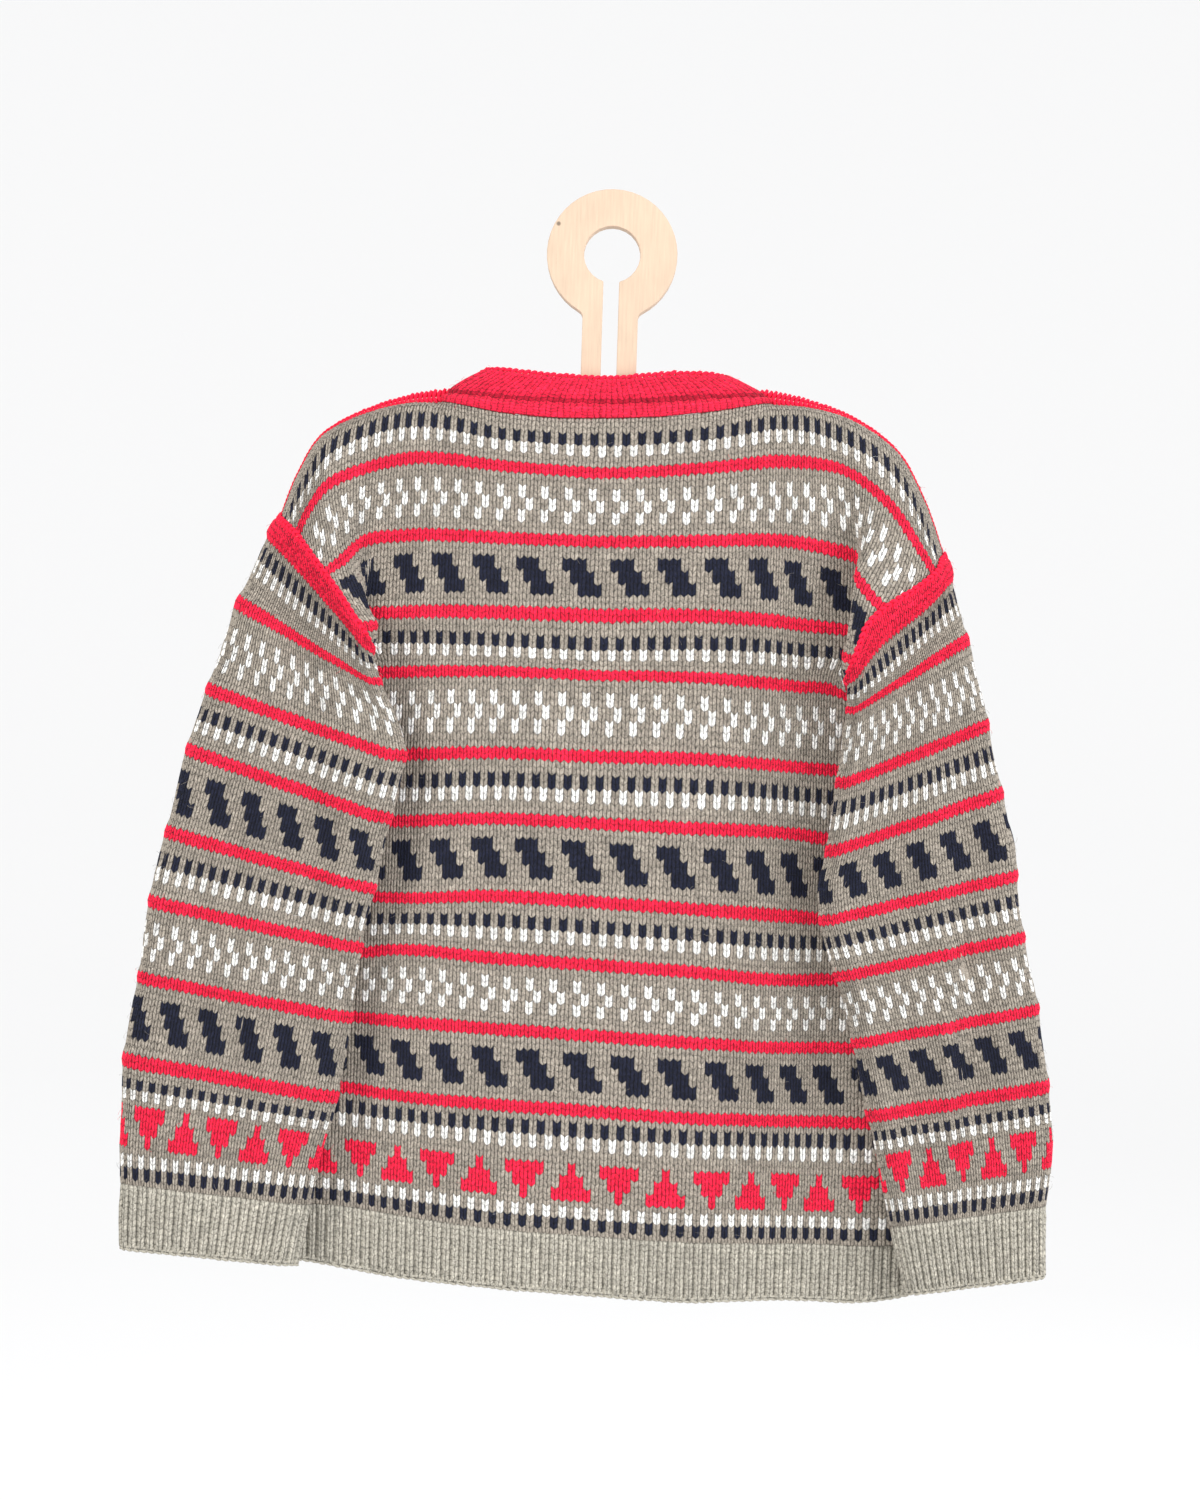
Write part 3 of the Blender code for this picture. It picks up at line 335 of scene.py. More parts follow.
# %% The body's two panels as grids
def back_points():
    """The outer side of the back panel, one row of points for each mesh row."""
    main = np.array(BACK_ROWS)
    left = np.array(LEFT_SIDE)
    right = np.array(RIGHT_SIDE)
    rows = []
    for fabric in BACK_MESH_ROWS:
        y_side, y_mid, *heights = smooth(main[:, 0], main[:, 1:], fabric)[0]
        left_knots = smooth(left[:, 0], left[:, 1:], fabric)[0].reshape(3, 3)[::-1]
        right_knots = smooth(right[:, 0], right[:, 1:], fabric)[0].reshape(3, 3)
        depths = (y_side, y_mid, y_mid, y_mid, y_side)
        middle = np.array(tuple(zip((-100, -50, 0, 50, 100), depths, heights)))
        knots = np.concatenate((left_knots, middle, right_knots))
        lengths = chord_lengths(knots)
        at = np.interp(BACK_MESH_COLUMNS, range(len(knots)), lengths)
        rows.append(smooth(lengths, knots, at))
    points = np.array(rows)
    neck = slice(NECK_COLUMNS[0], NECK_COLUMNS[1] + 1)
    x = points[0, neck, 0].copy()
    x[0], x[-1] = -NECK_HALF_WIDTH, NECK_HALF_WIDTH
    points[0, neck, 0] = x
    points[0, neck, 1] = -NECK_HALF_DEPTH * superellipse(x / NECK_HALF_WIDTH)
    points[0, neck, 2] = back_neck_z(x)
    points[..., 1] -= fold_height("back_panel", points)
    return points


def front_points(back):
    """The outer side of the front panel. It meets the back panel at the shoulders and the side seams."""
    armhole = np.array(FRONT_ARMHOLE)
    shares = back[0, :, 0] / np.where(back[0, :, 0] < 0, -back[0, 0, 0], back[0, -1, 0])
    crest = back[0, :, 2].copy()
    neck = np.abs(back[0, :, 0]) < NECK_HALF_WIDTH - 1
    top = np.where(neck, front_neck_z(back[0, :, 0]), crest)
    roll = np.array(FRONT_ROLL)
    first, last = FRONT_MESH_ROWS[0], FRONT_MESH_ROWS[-1]
    rows = []
    for number, fabric in enumerate(FRONT_MESH_ROWS):
        if number <= FRONT_UNDERARM_ROW:
            left, right = armhole[number, 1:4], armhole[number, 4:7]
        else:
            left, right = back[ROWS_TO_UNDERARM + number - FRONT_UNDERARM_ROW, (0, -1)]
        x = np.where(shares < 0, -shares * left[0], shares * right[0])
        even_share = (fabric - first) / (last - first)
        roll_share, roll_y = (np.interp(fabric, roll[:, 0], roll[:, column]) for column in (1, 2))
        down = np.where(neck, even_share, roll_share)
        z = top + (FRONT_HEM_Z - top) * down
        off_left, off_right = left[2] - z[0], right[2] - z[-1]
        z = z + np.abs(shares) ** FRONT_SIDE_POWER * np.where(shares < 0, off_left, off_right)
        edge_x = np.where(shares < 0, -left[0], right[0])
        edge_y = np.where(shares < 0, left[1], right[1])
        turn = np.clip((np.abs(x) - edge_x + SIDE_ROUND) / SIDE_ROUND, 0, 1)
        corner = 1 - superellipse(back[0, :, 0] / NECK_HALF_WIDTH)
        neck_y = FRONT_DEPTH * (1 - corner * np.exp(-(fabric - first) / NECK_ROLL))
        flat_y = np.where(neck, neck_y, roll_y)
        y = edge_y + (flat_y - edge_y) * np.sqrt(1 - turn**2)
        rows.append(np.stack((x, y, z), axis=-1))
    points = np.array(rows)
    points[..., 1] += fold_height("front_panel", points)
    return points


def stadium(shares, width, depth):
    """Places round a flattened tube, from its outer edge, along the side that shows, and back behind."""
    quarter = np.linspace(0, math.pi / 2, BEND_POINTS)
    radius = depth / 2
    bend = np.stack((radius * (1 - np.cos(quarter)), -radius * np.sin(quarter)), axis=-1)
    far = bend[::-1] * (-1, 1) + (width, 0)
    side = np.concatenate((bend, far))
    loop = np.concatenate((side, side[::-1][1:] * (1, -1)))
    lengths = chord_lengths(loop)
    at = np.asarray(shares) * lengths[-1]
    return np.stack((np.interp(at, lengths, loop[:, 0]), np.interp(at, lengths, loop[:, 1])), axis=-1)


def sleeve_ring(table, cloth, shares):
    """One ring of a sleeve, as far down from the seam as cloth says."""
    values = np.array(table)
    row = smooth(values[:, 0], values[:, 1:], cloth)[0]
    outer, inner, depth, sag = row[0:3], row[3:6], row[6], row[7]
    width = np.linalg.norm(inner - outer)
    place = stadium(shares, width, depth)
    ring = outer + place[:, :1] / width * (inner - outer)
    ring[:, 1] += place[:, 1]
    hidden = np.clip((np.asarray(shares) - 0.5) * 2, 0, 1)
    hang = sag * np.sin(math.pi * hidden**SAG_POWER)
    ring[:, 0] += np.sign(outer[0]) * SAG_LEAN * hang * (1 - hidden)
    ring[:, 2] -= hang
    return ring

# %% The seam ring of a sleeve
def ring_shares(seam, inner_index):
    """Each seam point's share of the way round, with the inner edge of the sleeve at one half."""
    lengths = chord_lengths(np.concatenate((seam, seam[:1])))
    half = lengths[inner_index]
    first = 0.5 * lengths[: inner_index + 1] / half
    second = 0.5 + 0.5 * (lengths[inner_index + 1 : -1] - half) / (lengths[-1] - half)
    return np.concatenate((first, second))


def sleeve_points(name, table, back, front, column):
    """A sleeve's rings of points, from the armhole seam down, and each point's share of the way round."""
    upper = slice(0, ROWS_TO_UNDERARM + 1)
    rear = slice(FRONT_UNDERARM_ROW - 1, 0, -1)
    seam = np.concatenate((back[upper, column], front[rear, column]))
    shares = ring_shares(seam, ROWS_TO_INNER_EDGE)
    rings = [seam] + [sleeve_ring(table, cloth, shares) for cloth in SLEEVE_MESH_CLOTH]
    points = np.array(rings)
    shown = (shares < 0.5) & (shares > 0)
    points[1:, shown, 1] -= fold_height(name, points[1:, shown])
    return points, shares


BACK = back_points()
FRONT = front_points(BACK)
FRONT[0] = np.where(np.abs(BACK[0, :, :1]) >= NECK_HALF_WIDTH - 1, BACK[0], FRONT[0])
FRONT[FRONT_UNDERARM_ROW:, (0, -1)] = BACK[ROWS_TO_UNDERARM:, (0, -1)]
SLEEVES = {
    "sleeve_left": (LEFT_SLEEVE, *sleeve_points("sleeve_left", LEFT_SLEEVE, BACK, FRONT, 0)),
    "sleeve_right": (RIGHT_SLEEVE, *sleeve_points("sleeve_right", RIGHT_SLEEVE, BACK, FRONT, -1)),
}
print("grids:", BACK.shape, FRONT.shape, SLEEVES["sleeve_left"][1].shape)

# %% [markdown]
# ## Camera, light and floor
#
# The camera looks straight at the wall side of the sweater from 1.6 m, level, and rolled by 1.8 degrees
# because the picture hangs a little askew in its frame. The room is a wide pale bowl: a floor that curves up
# into a wall. Its floor is lit a little more than its wall, which shows faintly below the sweater. The light
# is broad and comes from the upper left, and that is soft enough for wool.

# %% Camera
CAMERA_DISTANCE = 1.6
CLOTH_DEPTH = -0.02
FRAME_HEIGHT = 0.750
FRAME_CENTRE = (0.0017, -0.2646)
CAMERA_ROLL = math.radians(1.8)


def add_object(name, data):
    made = bpy.data.objects.new(name, data)
    bpy.context.scene.collection.objects.link(made)
    return made


camera_data = bpy.data.cameras.new("camera")
camera_data.sensor_width = 36.0
camera_data.lens = camera_data.sensor_width * CAMERA_DISTANCE / FRAME_HEIGHT
camera = add_object("camera", camera_data)
camera.location = (FRAME_CENTRE[0], CLOTH_DEPTH - CAMERA_DISTANCE, FRAME_CENTRE[1])
camera.rotation_euler = (math.pi / 2, -CAMERA_ROLL, 0)
bpy.context.scene.camera = camera
print("lens:", round(camera_data.lens, 1), "mm")

# %% Lights
SWEATER_CENTRE = np.array((0.0, 0.0, -0.28))
# name, place, size, power, color
LIGHTS = (
    ("key", (-1.7, -2, 1.5), 0.9, 61, (1, 0.985, 0.965)),
    ("fill", (2.5, -1.8, 0.3), 1.6, 74, (0.97, 0.98, 1)),
    ("back", (0.6, 2.6, 1.2), 1.8, 30, (1, 1, 1)),
)
for name, place, size, power, color in LIGHTS:
    light = bpy.data.lights.new(name, "AREA")
    light.size, light.energy, light.color = size, power, color
    lamp = add_object(name, light)
    lamp.location = place
    way = SWEATER_CENTRE - place
    tilt = math.atan2(math.hypot(way[0], way[1]), -way[2])
    lamp.rotation_euler = (tilt, 0, math.atan2(way[1], way[0]) - math.pi / 2)

world = bpy.data.worlds.new("pale_world")
world.use_nodes = True
sky = world.node_tree.nodes["Background"]
sky.inputs["Color"].default_value = (0.93, 0.94, 0.96, 1)
sky.inputs["Strength"].default_value = 0.86
bpy.context.scene.world = world
bpy.context.scene.view_settings.view_transform = "Standard"

# %% Floor
BOWL_PROFILE = ((0.0, -1.15), (2.6, -1.15), (3.4, -1.08), (4.0, -0.85), (4.4, -0.4), (4.6, 0.3), (4.7, 1.6))
BOWL_SIDES = 96


def bowl_mesh():
    """A floor disc that curves up into a round wall, facing inwards."""
    build = bmesh.new()
    profile = [build.verts.new((r, 0, z)) for r, z in BOWL_PROFILE]
    edges = [build.edges.new(pair) for pair in zip(profile, profile[1:])]
    bmesh.ops.spin(
        build, geom=profile + edges, axis=(0, 0, 1), cent=(0, 0, 0), angle=math.tau, steps=BOWL_SIDES,
    )
    bmesh.ops.remove_doubles(build, verts=build.verts, dist=0.0001)
    bmesh.ops.recalc_face_normals(build, faces=build.faces)
    mesh = bpy.data.meshes.new("pale_floor")
    build.to_mesh(mesh)
    build.free()
    mesh.shade_smooth()
    return mesh


floor_material = bpy.data.materials.new("pale_plaster")
floor_material.use_nodes = True
floor_shader = floor_material.node_tree.nodes["Principled BSDF"]
FLOOR_LOOK = {
    "Base Color": (0.32, 0.32, 0.32, 1),
    "Roughness": 0.9,
    "Emission Color": (1, 1, 1, 1),
    "Emission Strength": 0.58,
}
for label, value in FLOOR_LOOK.items():
    floor_shader.inputs[label].default_value = value
floor = add_object("pale_floor", bowl_mesh())
floor.data.materials.append(floor_material)
print("floor:", len(floor.data.polygons), "faces")

# %% [markdown]
# ## Yarn
#
# Every stitch of this sweater is a small V of wool. The V is made twice. The mesh has a zigzag line of points
# for each row, with two low ridges to a stitch, and the material adds what is too fine for a mesh: the round
# of each leg, painted shade in the gaps between legs and rows, a little painted light on the legs, and the
# fibres. The material reads two things from the mesh. The UV map counts stitches, so one unit is one stitch
# across and one row down. The attribute "yarn" holds the colour that the chart gives to the stitch; in the
# ribs it also holds painted shade in the valleys and in the groove of the neckband.

# %% Colours
YARN = {
    "grey": (0.312, 0.275, 0.230),
    "rib": (0.400, 0.375, 0.316),
    "red": (0.82, 0.017, 0.056),
    "dark": (0.013, 0.015, 0.030),
    "white": (0.80, 0.79, 0.76),
}


class Tree:
    """A short way to write node trees. A socket takes a plain value or another node's output."""

    def __init__(self, tree):
        self.tree = tree

    def link(self, source, target):
        if hasattr(source, "is_output"):
            self.tree.links.new(source, target)
        else:
            target.default_value = source

    def feed(self, node, inputs):
        for label, value in inputs.items():
            self.link(value, node.inputs[label])

    def node(self, kind, inputs=None, **values):
        made = self.tree.nodes.new(kind)
        for label, value in values.items():
            setattr(made, label, value)
        self.feed(made, inputs or {})
        return made

    def math(self, operation, *values):
        return self.node("ShaderNodeMath", dict(enumerate(values)), operation=operation).outputs[0]

    def product(self, first, *others):
        for other in others:
            first = self.math("MULTIPLY", first, other)
        return first

    def noise(self, scale, detail, vector):
        sizes = {"Vector": vector, "Scale": scale, "Detail": detail, "Roughness": 0.55}
        return self.node("ShaderNodeTexNoise", sizes).outputs["Fac"]

    def spread(self, *values):
        """A value that runs from low to high, spread over another low and high."""
        return self.node("ShaderNodeMapRange", dict(enumerate(values))).outputs[0]

    def scaled(self, color, amount):
        return self.node("ShaderNodeVectorMath", {0: color, "Scale": amount}, operation="SCALE").outputs[0]

    def bump(self, height, strength, distance):
        sizes = {"Height": height, "Strength": strength, "Distance": distance}
        return self.node("ShaderNodeBump", sizes).outputs[0]

    def combine(self, x=0.0, y=0.0, z=0.0):
        return self.node("ShaderNodeCombineXYZ", {0: x, 1: y, 2: z}).outputs[0]

    def place(self):
        return self.node("ShaderNodeTexCoord").outputs["Object"]


def new_material(name):
    made = bpy.data.materials.new(name)
    made.use_nodes = True
    return made, Tree(made.node_tree), made.node_tree.nodes["Principled BSDF"]

# %% Knitted wool
WOOL_FINISH = {"Roughness": 0.95, "Specular IOR Level": 0.15}
# How far noise bends the count of stitches across and down, and where a leg and a row begin in that count.
COUNT_BEND = (0.34, 0.5, 0.0)
LEG_START, ROW_START = 0.17, 0.25
# How square a leg's section and its length are.
LEG_POWER, ROW_POWER = 2.2, 6.0
# Scale and detail of each kind of unevenness.
WOBBLE = {"Scale": 380.0, "Detail": 1.0}
FIBRES, FLECKS, PATCHES = (1500.0, 3.0), (420.0, 2.0), (16.0, 2.0)


def knitted_wool(name, heather, leg_height, fibre_height, gap_shade):
    """Wool for any knitted piece. heather: how much the flecks vary. gap_shade: the painted shade between
    legs.
    """
    made, tree, shader = new_material(name)
    place = tree.place()
    counted = tree.node("ShaderNodeUVMap", uv_map="stitches").outputs[0]
    wobble = tree.node("ShaderNodeTexNoise", {"Vector": place} | WOBBLE).outputs["Color"]
    bend = {0: wobble, 1: COUNT_BEND, 2: counted}
    bent = tree.node("ShaderNodeVectorMath", bend, operation="MULTIPLY_ADD").outputs[0]
    split = tree.node("ShaderNodeSeparateXYZ", {0: bent}).outputs
    legs = tree.math("FRACT", tree.math("MULTIPLY", tree.math("SUBTRACT", split[0], LEG_START), 2.0))
    rows = tree.math("FRACT", tree.math("SUBTRACT", split[1], ROW_START))
    rounds = []
    for share, power in ((legs, LEG_POWER), (rows, ROW_POWER)):
        off_middle = tree.math("ABSOLUTE", tree.math("SUBTRACT", tree.math("MULTIPLY", share, 2.0), 1.0))
        rounds.append(tree.math("SUBTRACT", 1.0, tree.math("POWER", off_middle, power)))
    leg = tree.math("SQRT", tree.math("MAXIMUM", tree.product(*rounds), 0.0))

    fibres = tree.noise(*FIBRES, place)
    yarn = tree.node("ShaderNodeAttribute", attribute_name="yarn").outputs["Color"]
    # The wool's own flecks and patches, times painted shade in the gaps between legs and rows and a little
    # painted light on the legs.
    shade = tree.product(
        tree.spread(fibres, 0.32, 0.68, 1.0 - heather, 1.0 + heather),
        tree.spread(tree.noise(*FLECKS, place), 0.35, 0.65, 1.0 - heather / 2, 1.0 + heather / 2),
        tree.spread(tree.noise(*PATCHES, place), 0.3, 0.7, 0.95, 1.04),
        tree.spread(leg, 0.12, 0.8, gap_shade, 1.08),
    )
    height = tree.math("ADD", tree.product(leg, leg_height), tree.product(fibres, fibre_height))
    look = {
        "Base Color": tree.scaled(yarn, shade),
        "Normal": tree.bump(height, 0.9, 1.0),
        "Sheen Weight": 0.05,
        "Sheen Roughness": 0.55,
    }
    tree.feed(shader, WOOL_FINISH | look)
    return made


# slot, and its wool: name, heather, height of a leg and of the fibres in metres, painted shade between legs
WOOL = {
    "grey_knit": knitted_wool("knitted_wool", 0.36, 0.0009, 0.00035, 0.08),
    "grey_rib": knitted_wool("ribbed_wool", 0.36, 0.0008, 0.00035, 0.3),
    "red_rib": knitted_wool("red_ribbed_wool", 0.38, 0.0009, 0.0006, 0.4),
}
print("yarns:", ", ".join(YARN))

# %% [markdown]
# ## The chart
#
# A knitter works from a chart: for each band, which motif it has and how many rows it takes. The motifs here
# are traditional ones, so each is a rule of a line or two instead of a drawing: checks take every second
# stitch, seeds every third, diagonals step one stitch aside every two rows, and triangles get narrower by
# two stitches. The place column ties rows to the cloth, in millimetres, because hung wool stretches unevenly.

# %% Motifs
TRIANGLE_HALF_WIDTHS = (2, 1, 0)


def stitch_color(motif, row, aside, wale):
    """The yarn of one stitch. row counts from the top of its band, and aside moves the motif."""
    pair = row // 2
    wale = wale + aside
    if motif == "red":
        return "red"
    if motif == "dark_checks" and wale % 2 == 0:
        return "dark"
    if motif == "white_checks" and wale % 2 == 1:
        return "white"
    if motif == "seeds" and (wale - pair % 2) % 3 == 0:
        return "white"
    if motif == "diagonals" and (wale - pair) % 6 < 3:
        return "dark"
    if motif == "triangles":
        down = abs((wale + 6) % 12 - 6) <= TRIANGLE_HALF_WIDTHS[pair]
        up = abs(wale % 12 - 6) <= TRIANGLE_HALF_WIDTHS[2 - pair]
        if down or up:
            return "red"
    return "grey"


# The motif rows of a band. motif, rows
BANDS = {
    "seeds": (("seeds", 6),),
    "diagonals": (("diagonals", 6),),
    "checks": (("dark_checks", 2), ("white_checks", 2)),
}
# Bands under a red line. red line's place and depth, band, stitches aside, grey rows above and below
BODY_BANDS = (
    (118.9, 5.7, "seeds", 0, 2, 2),
    (153.6, 5.8, "diagonals", 3, 2, 2),
    (190.6, 5.8, "checks", 0, 2, 2),
    (220.6, 5.8, "seeds", 0, 2, 2),
    (261.6, 5.8, "checks", 0, 2, 2),
    (295.5, 6, "diagonals", 2, 2, 2),
    (335, 6, "checks", 0, 2, 2),
    (366, 6, "seeds", 0, 2, 2),
    (401.5, 6, "diagonals", 1, 2, 2),
    (439.5, 6, "checks", 0, 1, 2),
)
SLEEVE_BANDS = (
    (35, 6, "seeds", 0, 2, 2),
    (77, 6, "checks", 0, 2, 2),
    (109, 6, "diagonals", 0, 2, 2),
    (147, 6, "checks", 0, 2, 2),
    (180, 6, "seeds", 0, 2, 2),
    (217, 6, "diagonals", 0, 2, 2),
    (258, 6, "checks", 0, 2, 1),
)


def bands(table):
    """The chart rows of bands that each begin with a red line."""
    rows = []
    for place, depth, band, aside, above, below in table:
        rows += [("red", 2, place), ("grey", above, place + depth)]
        rows += [(motif, count, None, aside) for motif, count in BANDS[band]]
        rows.append(("grey", below, None))
    return rows


# motif, rows, place of its first row (None: evenly between its neighbours), and stitches aside, if any
BODY_CHART = (
    ("grey", 3, 89), ("dark_checks", 2, 100), ("white_checks", 2, None), ("grey", 2, None),
    *bands(BODY_BANDS),
    ("triangles", 6, 469.8, 6), ("grey", 1, 488.2), ("white_checks", 2, None), ("dark_checks", 2, None),
    ("grey", 1, None), ("end", 0, 505.5),
)
SLEEVE_CHART = (
    ("red", 4, 0), ("grey", 1, 10.5), ("dark_checks", 2, 13.5), ("white_checks", 2, None), ("grey", 4, 25.5),
    *bands(SLEEVE_BANDS),
    ("triangles", 6, 279, 6), ("grey", 1, 297), ("white_checks", 2, None), ("dark_checks", 2, None),
    ("grey", 1, None), ("end", 0, 320.7),
)


def read_chart(chart):
    """Each row's motif and its number in the band, and the places of all the rows' edges."""
    rows, known = [], {}
    for motif, count, place, *aside in chart:
        if place is not None:
            known[len(rows)] = place
        rows += [(motif, number, *(aside or [0])) for number in range(count)]
    edges = np.interp(np.arange(len(rows) + 1), list(known), list(known.values()))
    return rows, edges


BODY_ROWS, BODY_EDGES = read_chart(BODY_CHART)
SLEEVE_ROWS, SLEEVE_EDGES = read_chart(SLEEVE_CHART)
print("rows: body", len(BODY_ROWS), "sleeve", len(SLEEVE_ROWS))

# %% [markdown]
# ## A knitted wall
#
# One function makes every knitted piece. It takes a fine grid of points, four to a stitch across and one to
# a row down, and it lifts and shifts them into zigzag ridges. A second, coarser grid lies behind the first,
# and a rim joins the two at the edges, so the cloth is a closed thin wall. Where a row ends early, as at an
# armhole, its last points fall together and are merged.

# %% Small creases
# piece, height, half width, points. A sleeve's hidden side has "_behind" after its name.
CREASES = (
    ("back_panel", 1.5, 7, ((-118, -204), (-92, -196), (-70, -200))),
    ("back_panel", -1.4, 6, ((-112, -214), (-88, -210), (-62, -218))),
    ("back_panel", 1.4, 8, ((-96, -112), (-90, -150), (-96, -196))),
    ("back_panel", -1.2, 7, ((-82, -116), (-76, -150), (-80, -178))),
    ("back_panel", 1.4, 7, ((104, -112), (100, -145), (108, -186))),
    ("back_panel", -1.2, 6.5, ((92, -122), (88, -150), (92, -172))),
    ("back_panel", 1, 10, ((-26, -118), (-16, -210), (-22, -300))),
    ("back_panel", -1, 9, ((30, -150), (38, -260), (30, -360))),
    ("back_panel", 1.2, 9, ((-40, -330), (-46, -420), (-38, -500))),
    ("back_panel", 1.4, 8, ((52, -380), (60, -440), (54, -500))),
    ("back_panel", -1.5, 8, ((70, -400), (74, -450), (78, -500))),
    ("back_panel", 1.4, 7, ((-108, -420), (-100, -460), (-104, -500))),
    ("front_panel", 1.7, 8, ((-100, -130), (-84, -170), (-66, -230))),
    ("front_panel", -1.5, 8, ((-118, -150), (-104, -210), (-96, -290))),
    ("front_panel", 1.7, 8, ((106, -136), (92, -190), (74, -240))),
    ("front_panel", 1.4, 10, ((20, -200), (6, -300), (18, -400))),
    ("front_panel", -1.4, 8, ((-30, -350), (-24, -420), (-34, -500))),
    ("front_panel", 1.5, 7, ((118, -360), (112, -430), (120, -500))),
    ("sleeve_left", 1.5, 7, ((-176, -196), (-150, -226), (-128, -240))),
    ("sleeve_left", -1.5, 6, ((-186, -222), (-166, -240), (-146, -262))),
    ("sleeve_left", 1.4, 6, ((-120, -300), (-126, -350), (-124, -400))),
    ("sleeve_left", -1.4, 7, ((-200, -330), (-190, -390), (-196, -450))),
    ("sleeve_left", 1.9, 5, ((-166, -390), (-158, -440), (-164, -490))),
    ("sleeve_left", -1.5, 5, ((-178, -300), (-171, -380), (-174, -450))),
    ("sleeve_left_behind", 1.7, 9, ((-170, -240), (-160, -320), (-172, -400))),
    ("sleeve_left_behind", -1.5, 8, ((-196, -300), (-200, -380), (-190, -460))),
    ("sleeve_right", 1.5, 7, ((180, -206), (158, -232), (136, -250))),
    ("sleeve_right", -1.4, 6, ((150, -226), (148, -280), (152, -330))),
    ("sleeve_right", 1.4, 6, ((204, -300), (208, -350), (206, -400))),
    ("sleeve_right", 2, 3.6, ((178, -352), (181, -430), (184, -500))),
    ("sleeve_right", -1.8, 4.2, ((187, -352), (190, -430), (193, -500))),
    ("sleeve_right", -1.6, 6, ((158, -400), (164, -440), (167, -486))),
    ("sleeve_right_behind", 1.7, 9, ((172, -250), (166, -330), (180, -410))),
    ("sleeve_right_behind", -1.5, 8, ((198, -310), (206, -390), (196, -470))),
)
# Slow waves that keep any patch from lying quite flat. height, turns a mm across and down, start
WAVES = (
    (0.30, 0.075, 0.031, 0.4),
    (0.26, -0.052, 0.088, 1.9),
    (0.22, 0.140, 0.064, 3.1),
    (0.18, 0.033, -0.171, 5),
    (0.12, 0.230, 0.118, 2.2),
)
# How quickly the hidden side's creases take over where a sleeve turns round.
BEHIND_STEEPNESS = 2.5
SEAM_ROWS = 5
SEAM_WIDTH = 9.0


def soft_folds(piece, points, vectors, closed, free_end):
    """How far creases and waves lift each point, in mm. They fade out towards the seams."""
    height = fold_height(piece, points, CREASES)
    if closed:
        behind = np.clip(0.5 + BEHIND_STEEPNESS * vectors[..., 1], 0, 1)
        height = height * (1 - behind) + fold_height(piece + "_behind", points, CREASES) * behind
    for rise, across, down, start in WAVES:
        height += rise * np.sin(points[..., 0] * across + points[..., 2] * down + start)
    rows = np.arange(len(points))
    ends = rows if free_end else np.minimum(rows, rows[-1] - rows)
    fade = np.clip(ends / SEAM_ROWS, 0, 1)[:, None]
    if not closed:
        steps = np.linalg.norm(np.diff(points, axis=1), axis=2)
        along = np.concatenate((np.zeros((len(points), 1)), np.cumsum(steps, axis=1)), axis=1)
        fade = fade * np.clip(np.minimum(along, along[:, -1:] - along) / SEAM_WIDTH, 0, 1)
    return height * fade

# %% Walls of cloth
CLOTH_WALL = 1.3
# Points closer than this are one, in mm for the grids and in metres for a mesh.
SAME_POINT, MERGE_DISTANCE = 1e-6, 0.00001
# The place in a stitch that stands for the whole inner side.
BACKING_UV = (0.25, 0.5)
CHANCE = np.random.default_rng(11)
# How much darker or lighter each stitch is than its yarn, for a field of stitches that repeats.
YARN_VARIES = CHANCE.normal(1.0, 0.055, (131, 97))
STITCH_COLUMNS = 4
ZIGZAG = (-0.25, 0.0, 0.25, 0.0)
RIDGES = (-0.5, 0.3, -0.3, 0.3)
INNER_ROWS = 4
INNER_COLUMNS = 8


def facing(points, turn, closed):
    """Unit vectors out of a fine grid. Points that fall together at a row's end share one vector."""
    down = np.gradient(points, axis=0)
    if closed:
        over = np.roll(points, -1, axis=1) - np.roll(points, 1, axis=1)
    else:
        over = np.gradient(points, axis=1)
    found = np.linalg.norm(over, axis=-1) > SAME_POINT
    vectors = unit(turn * np.cross(over, down))
    middle, last = points.shape[1] // 2, points.shape[1] - 1
    for column in () if closed else (*range(middle + 1, last + 1), *range(middle - 1, -1, -1)):
        lost = ~found[:, column]
        vectors[lost, column] = vectors[lost, column + (1 if column < middle else -1)]
    return vectors


def bridge(near, near_at, far, far_at):
    """Triangles between two rows of points, one finer than the other."""
    faces = []
    i = j = 0
    while i < len(near) - 1 or j < len(far) - 1:
        if j == len(far) - 1 or (i < len(near) - 1 and near_at[i + 1] <= far_at[j + 1]):
            faces.append((near[i], near[i + 1], far[j]))
            i += 1
        else:
            faces.append((near[i], far[j + 1], far[j]))
            j += 1
    return faces


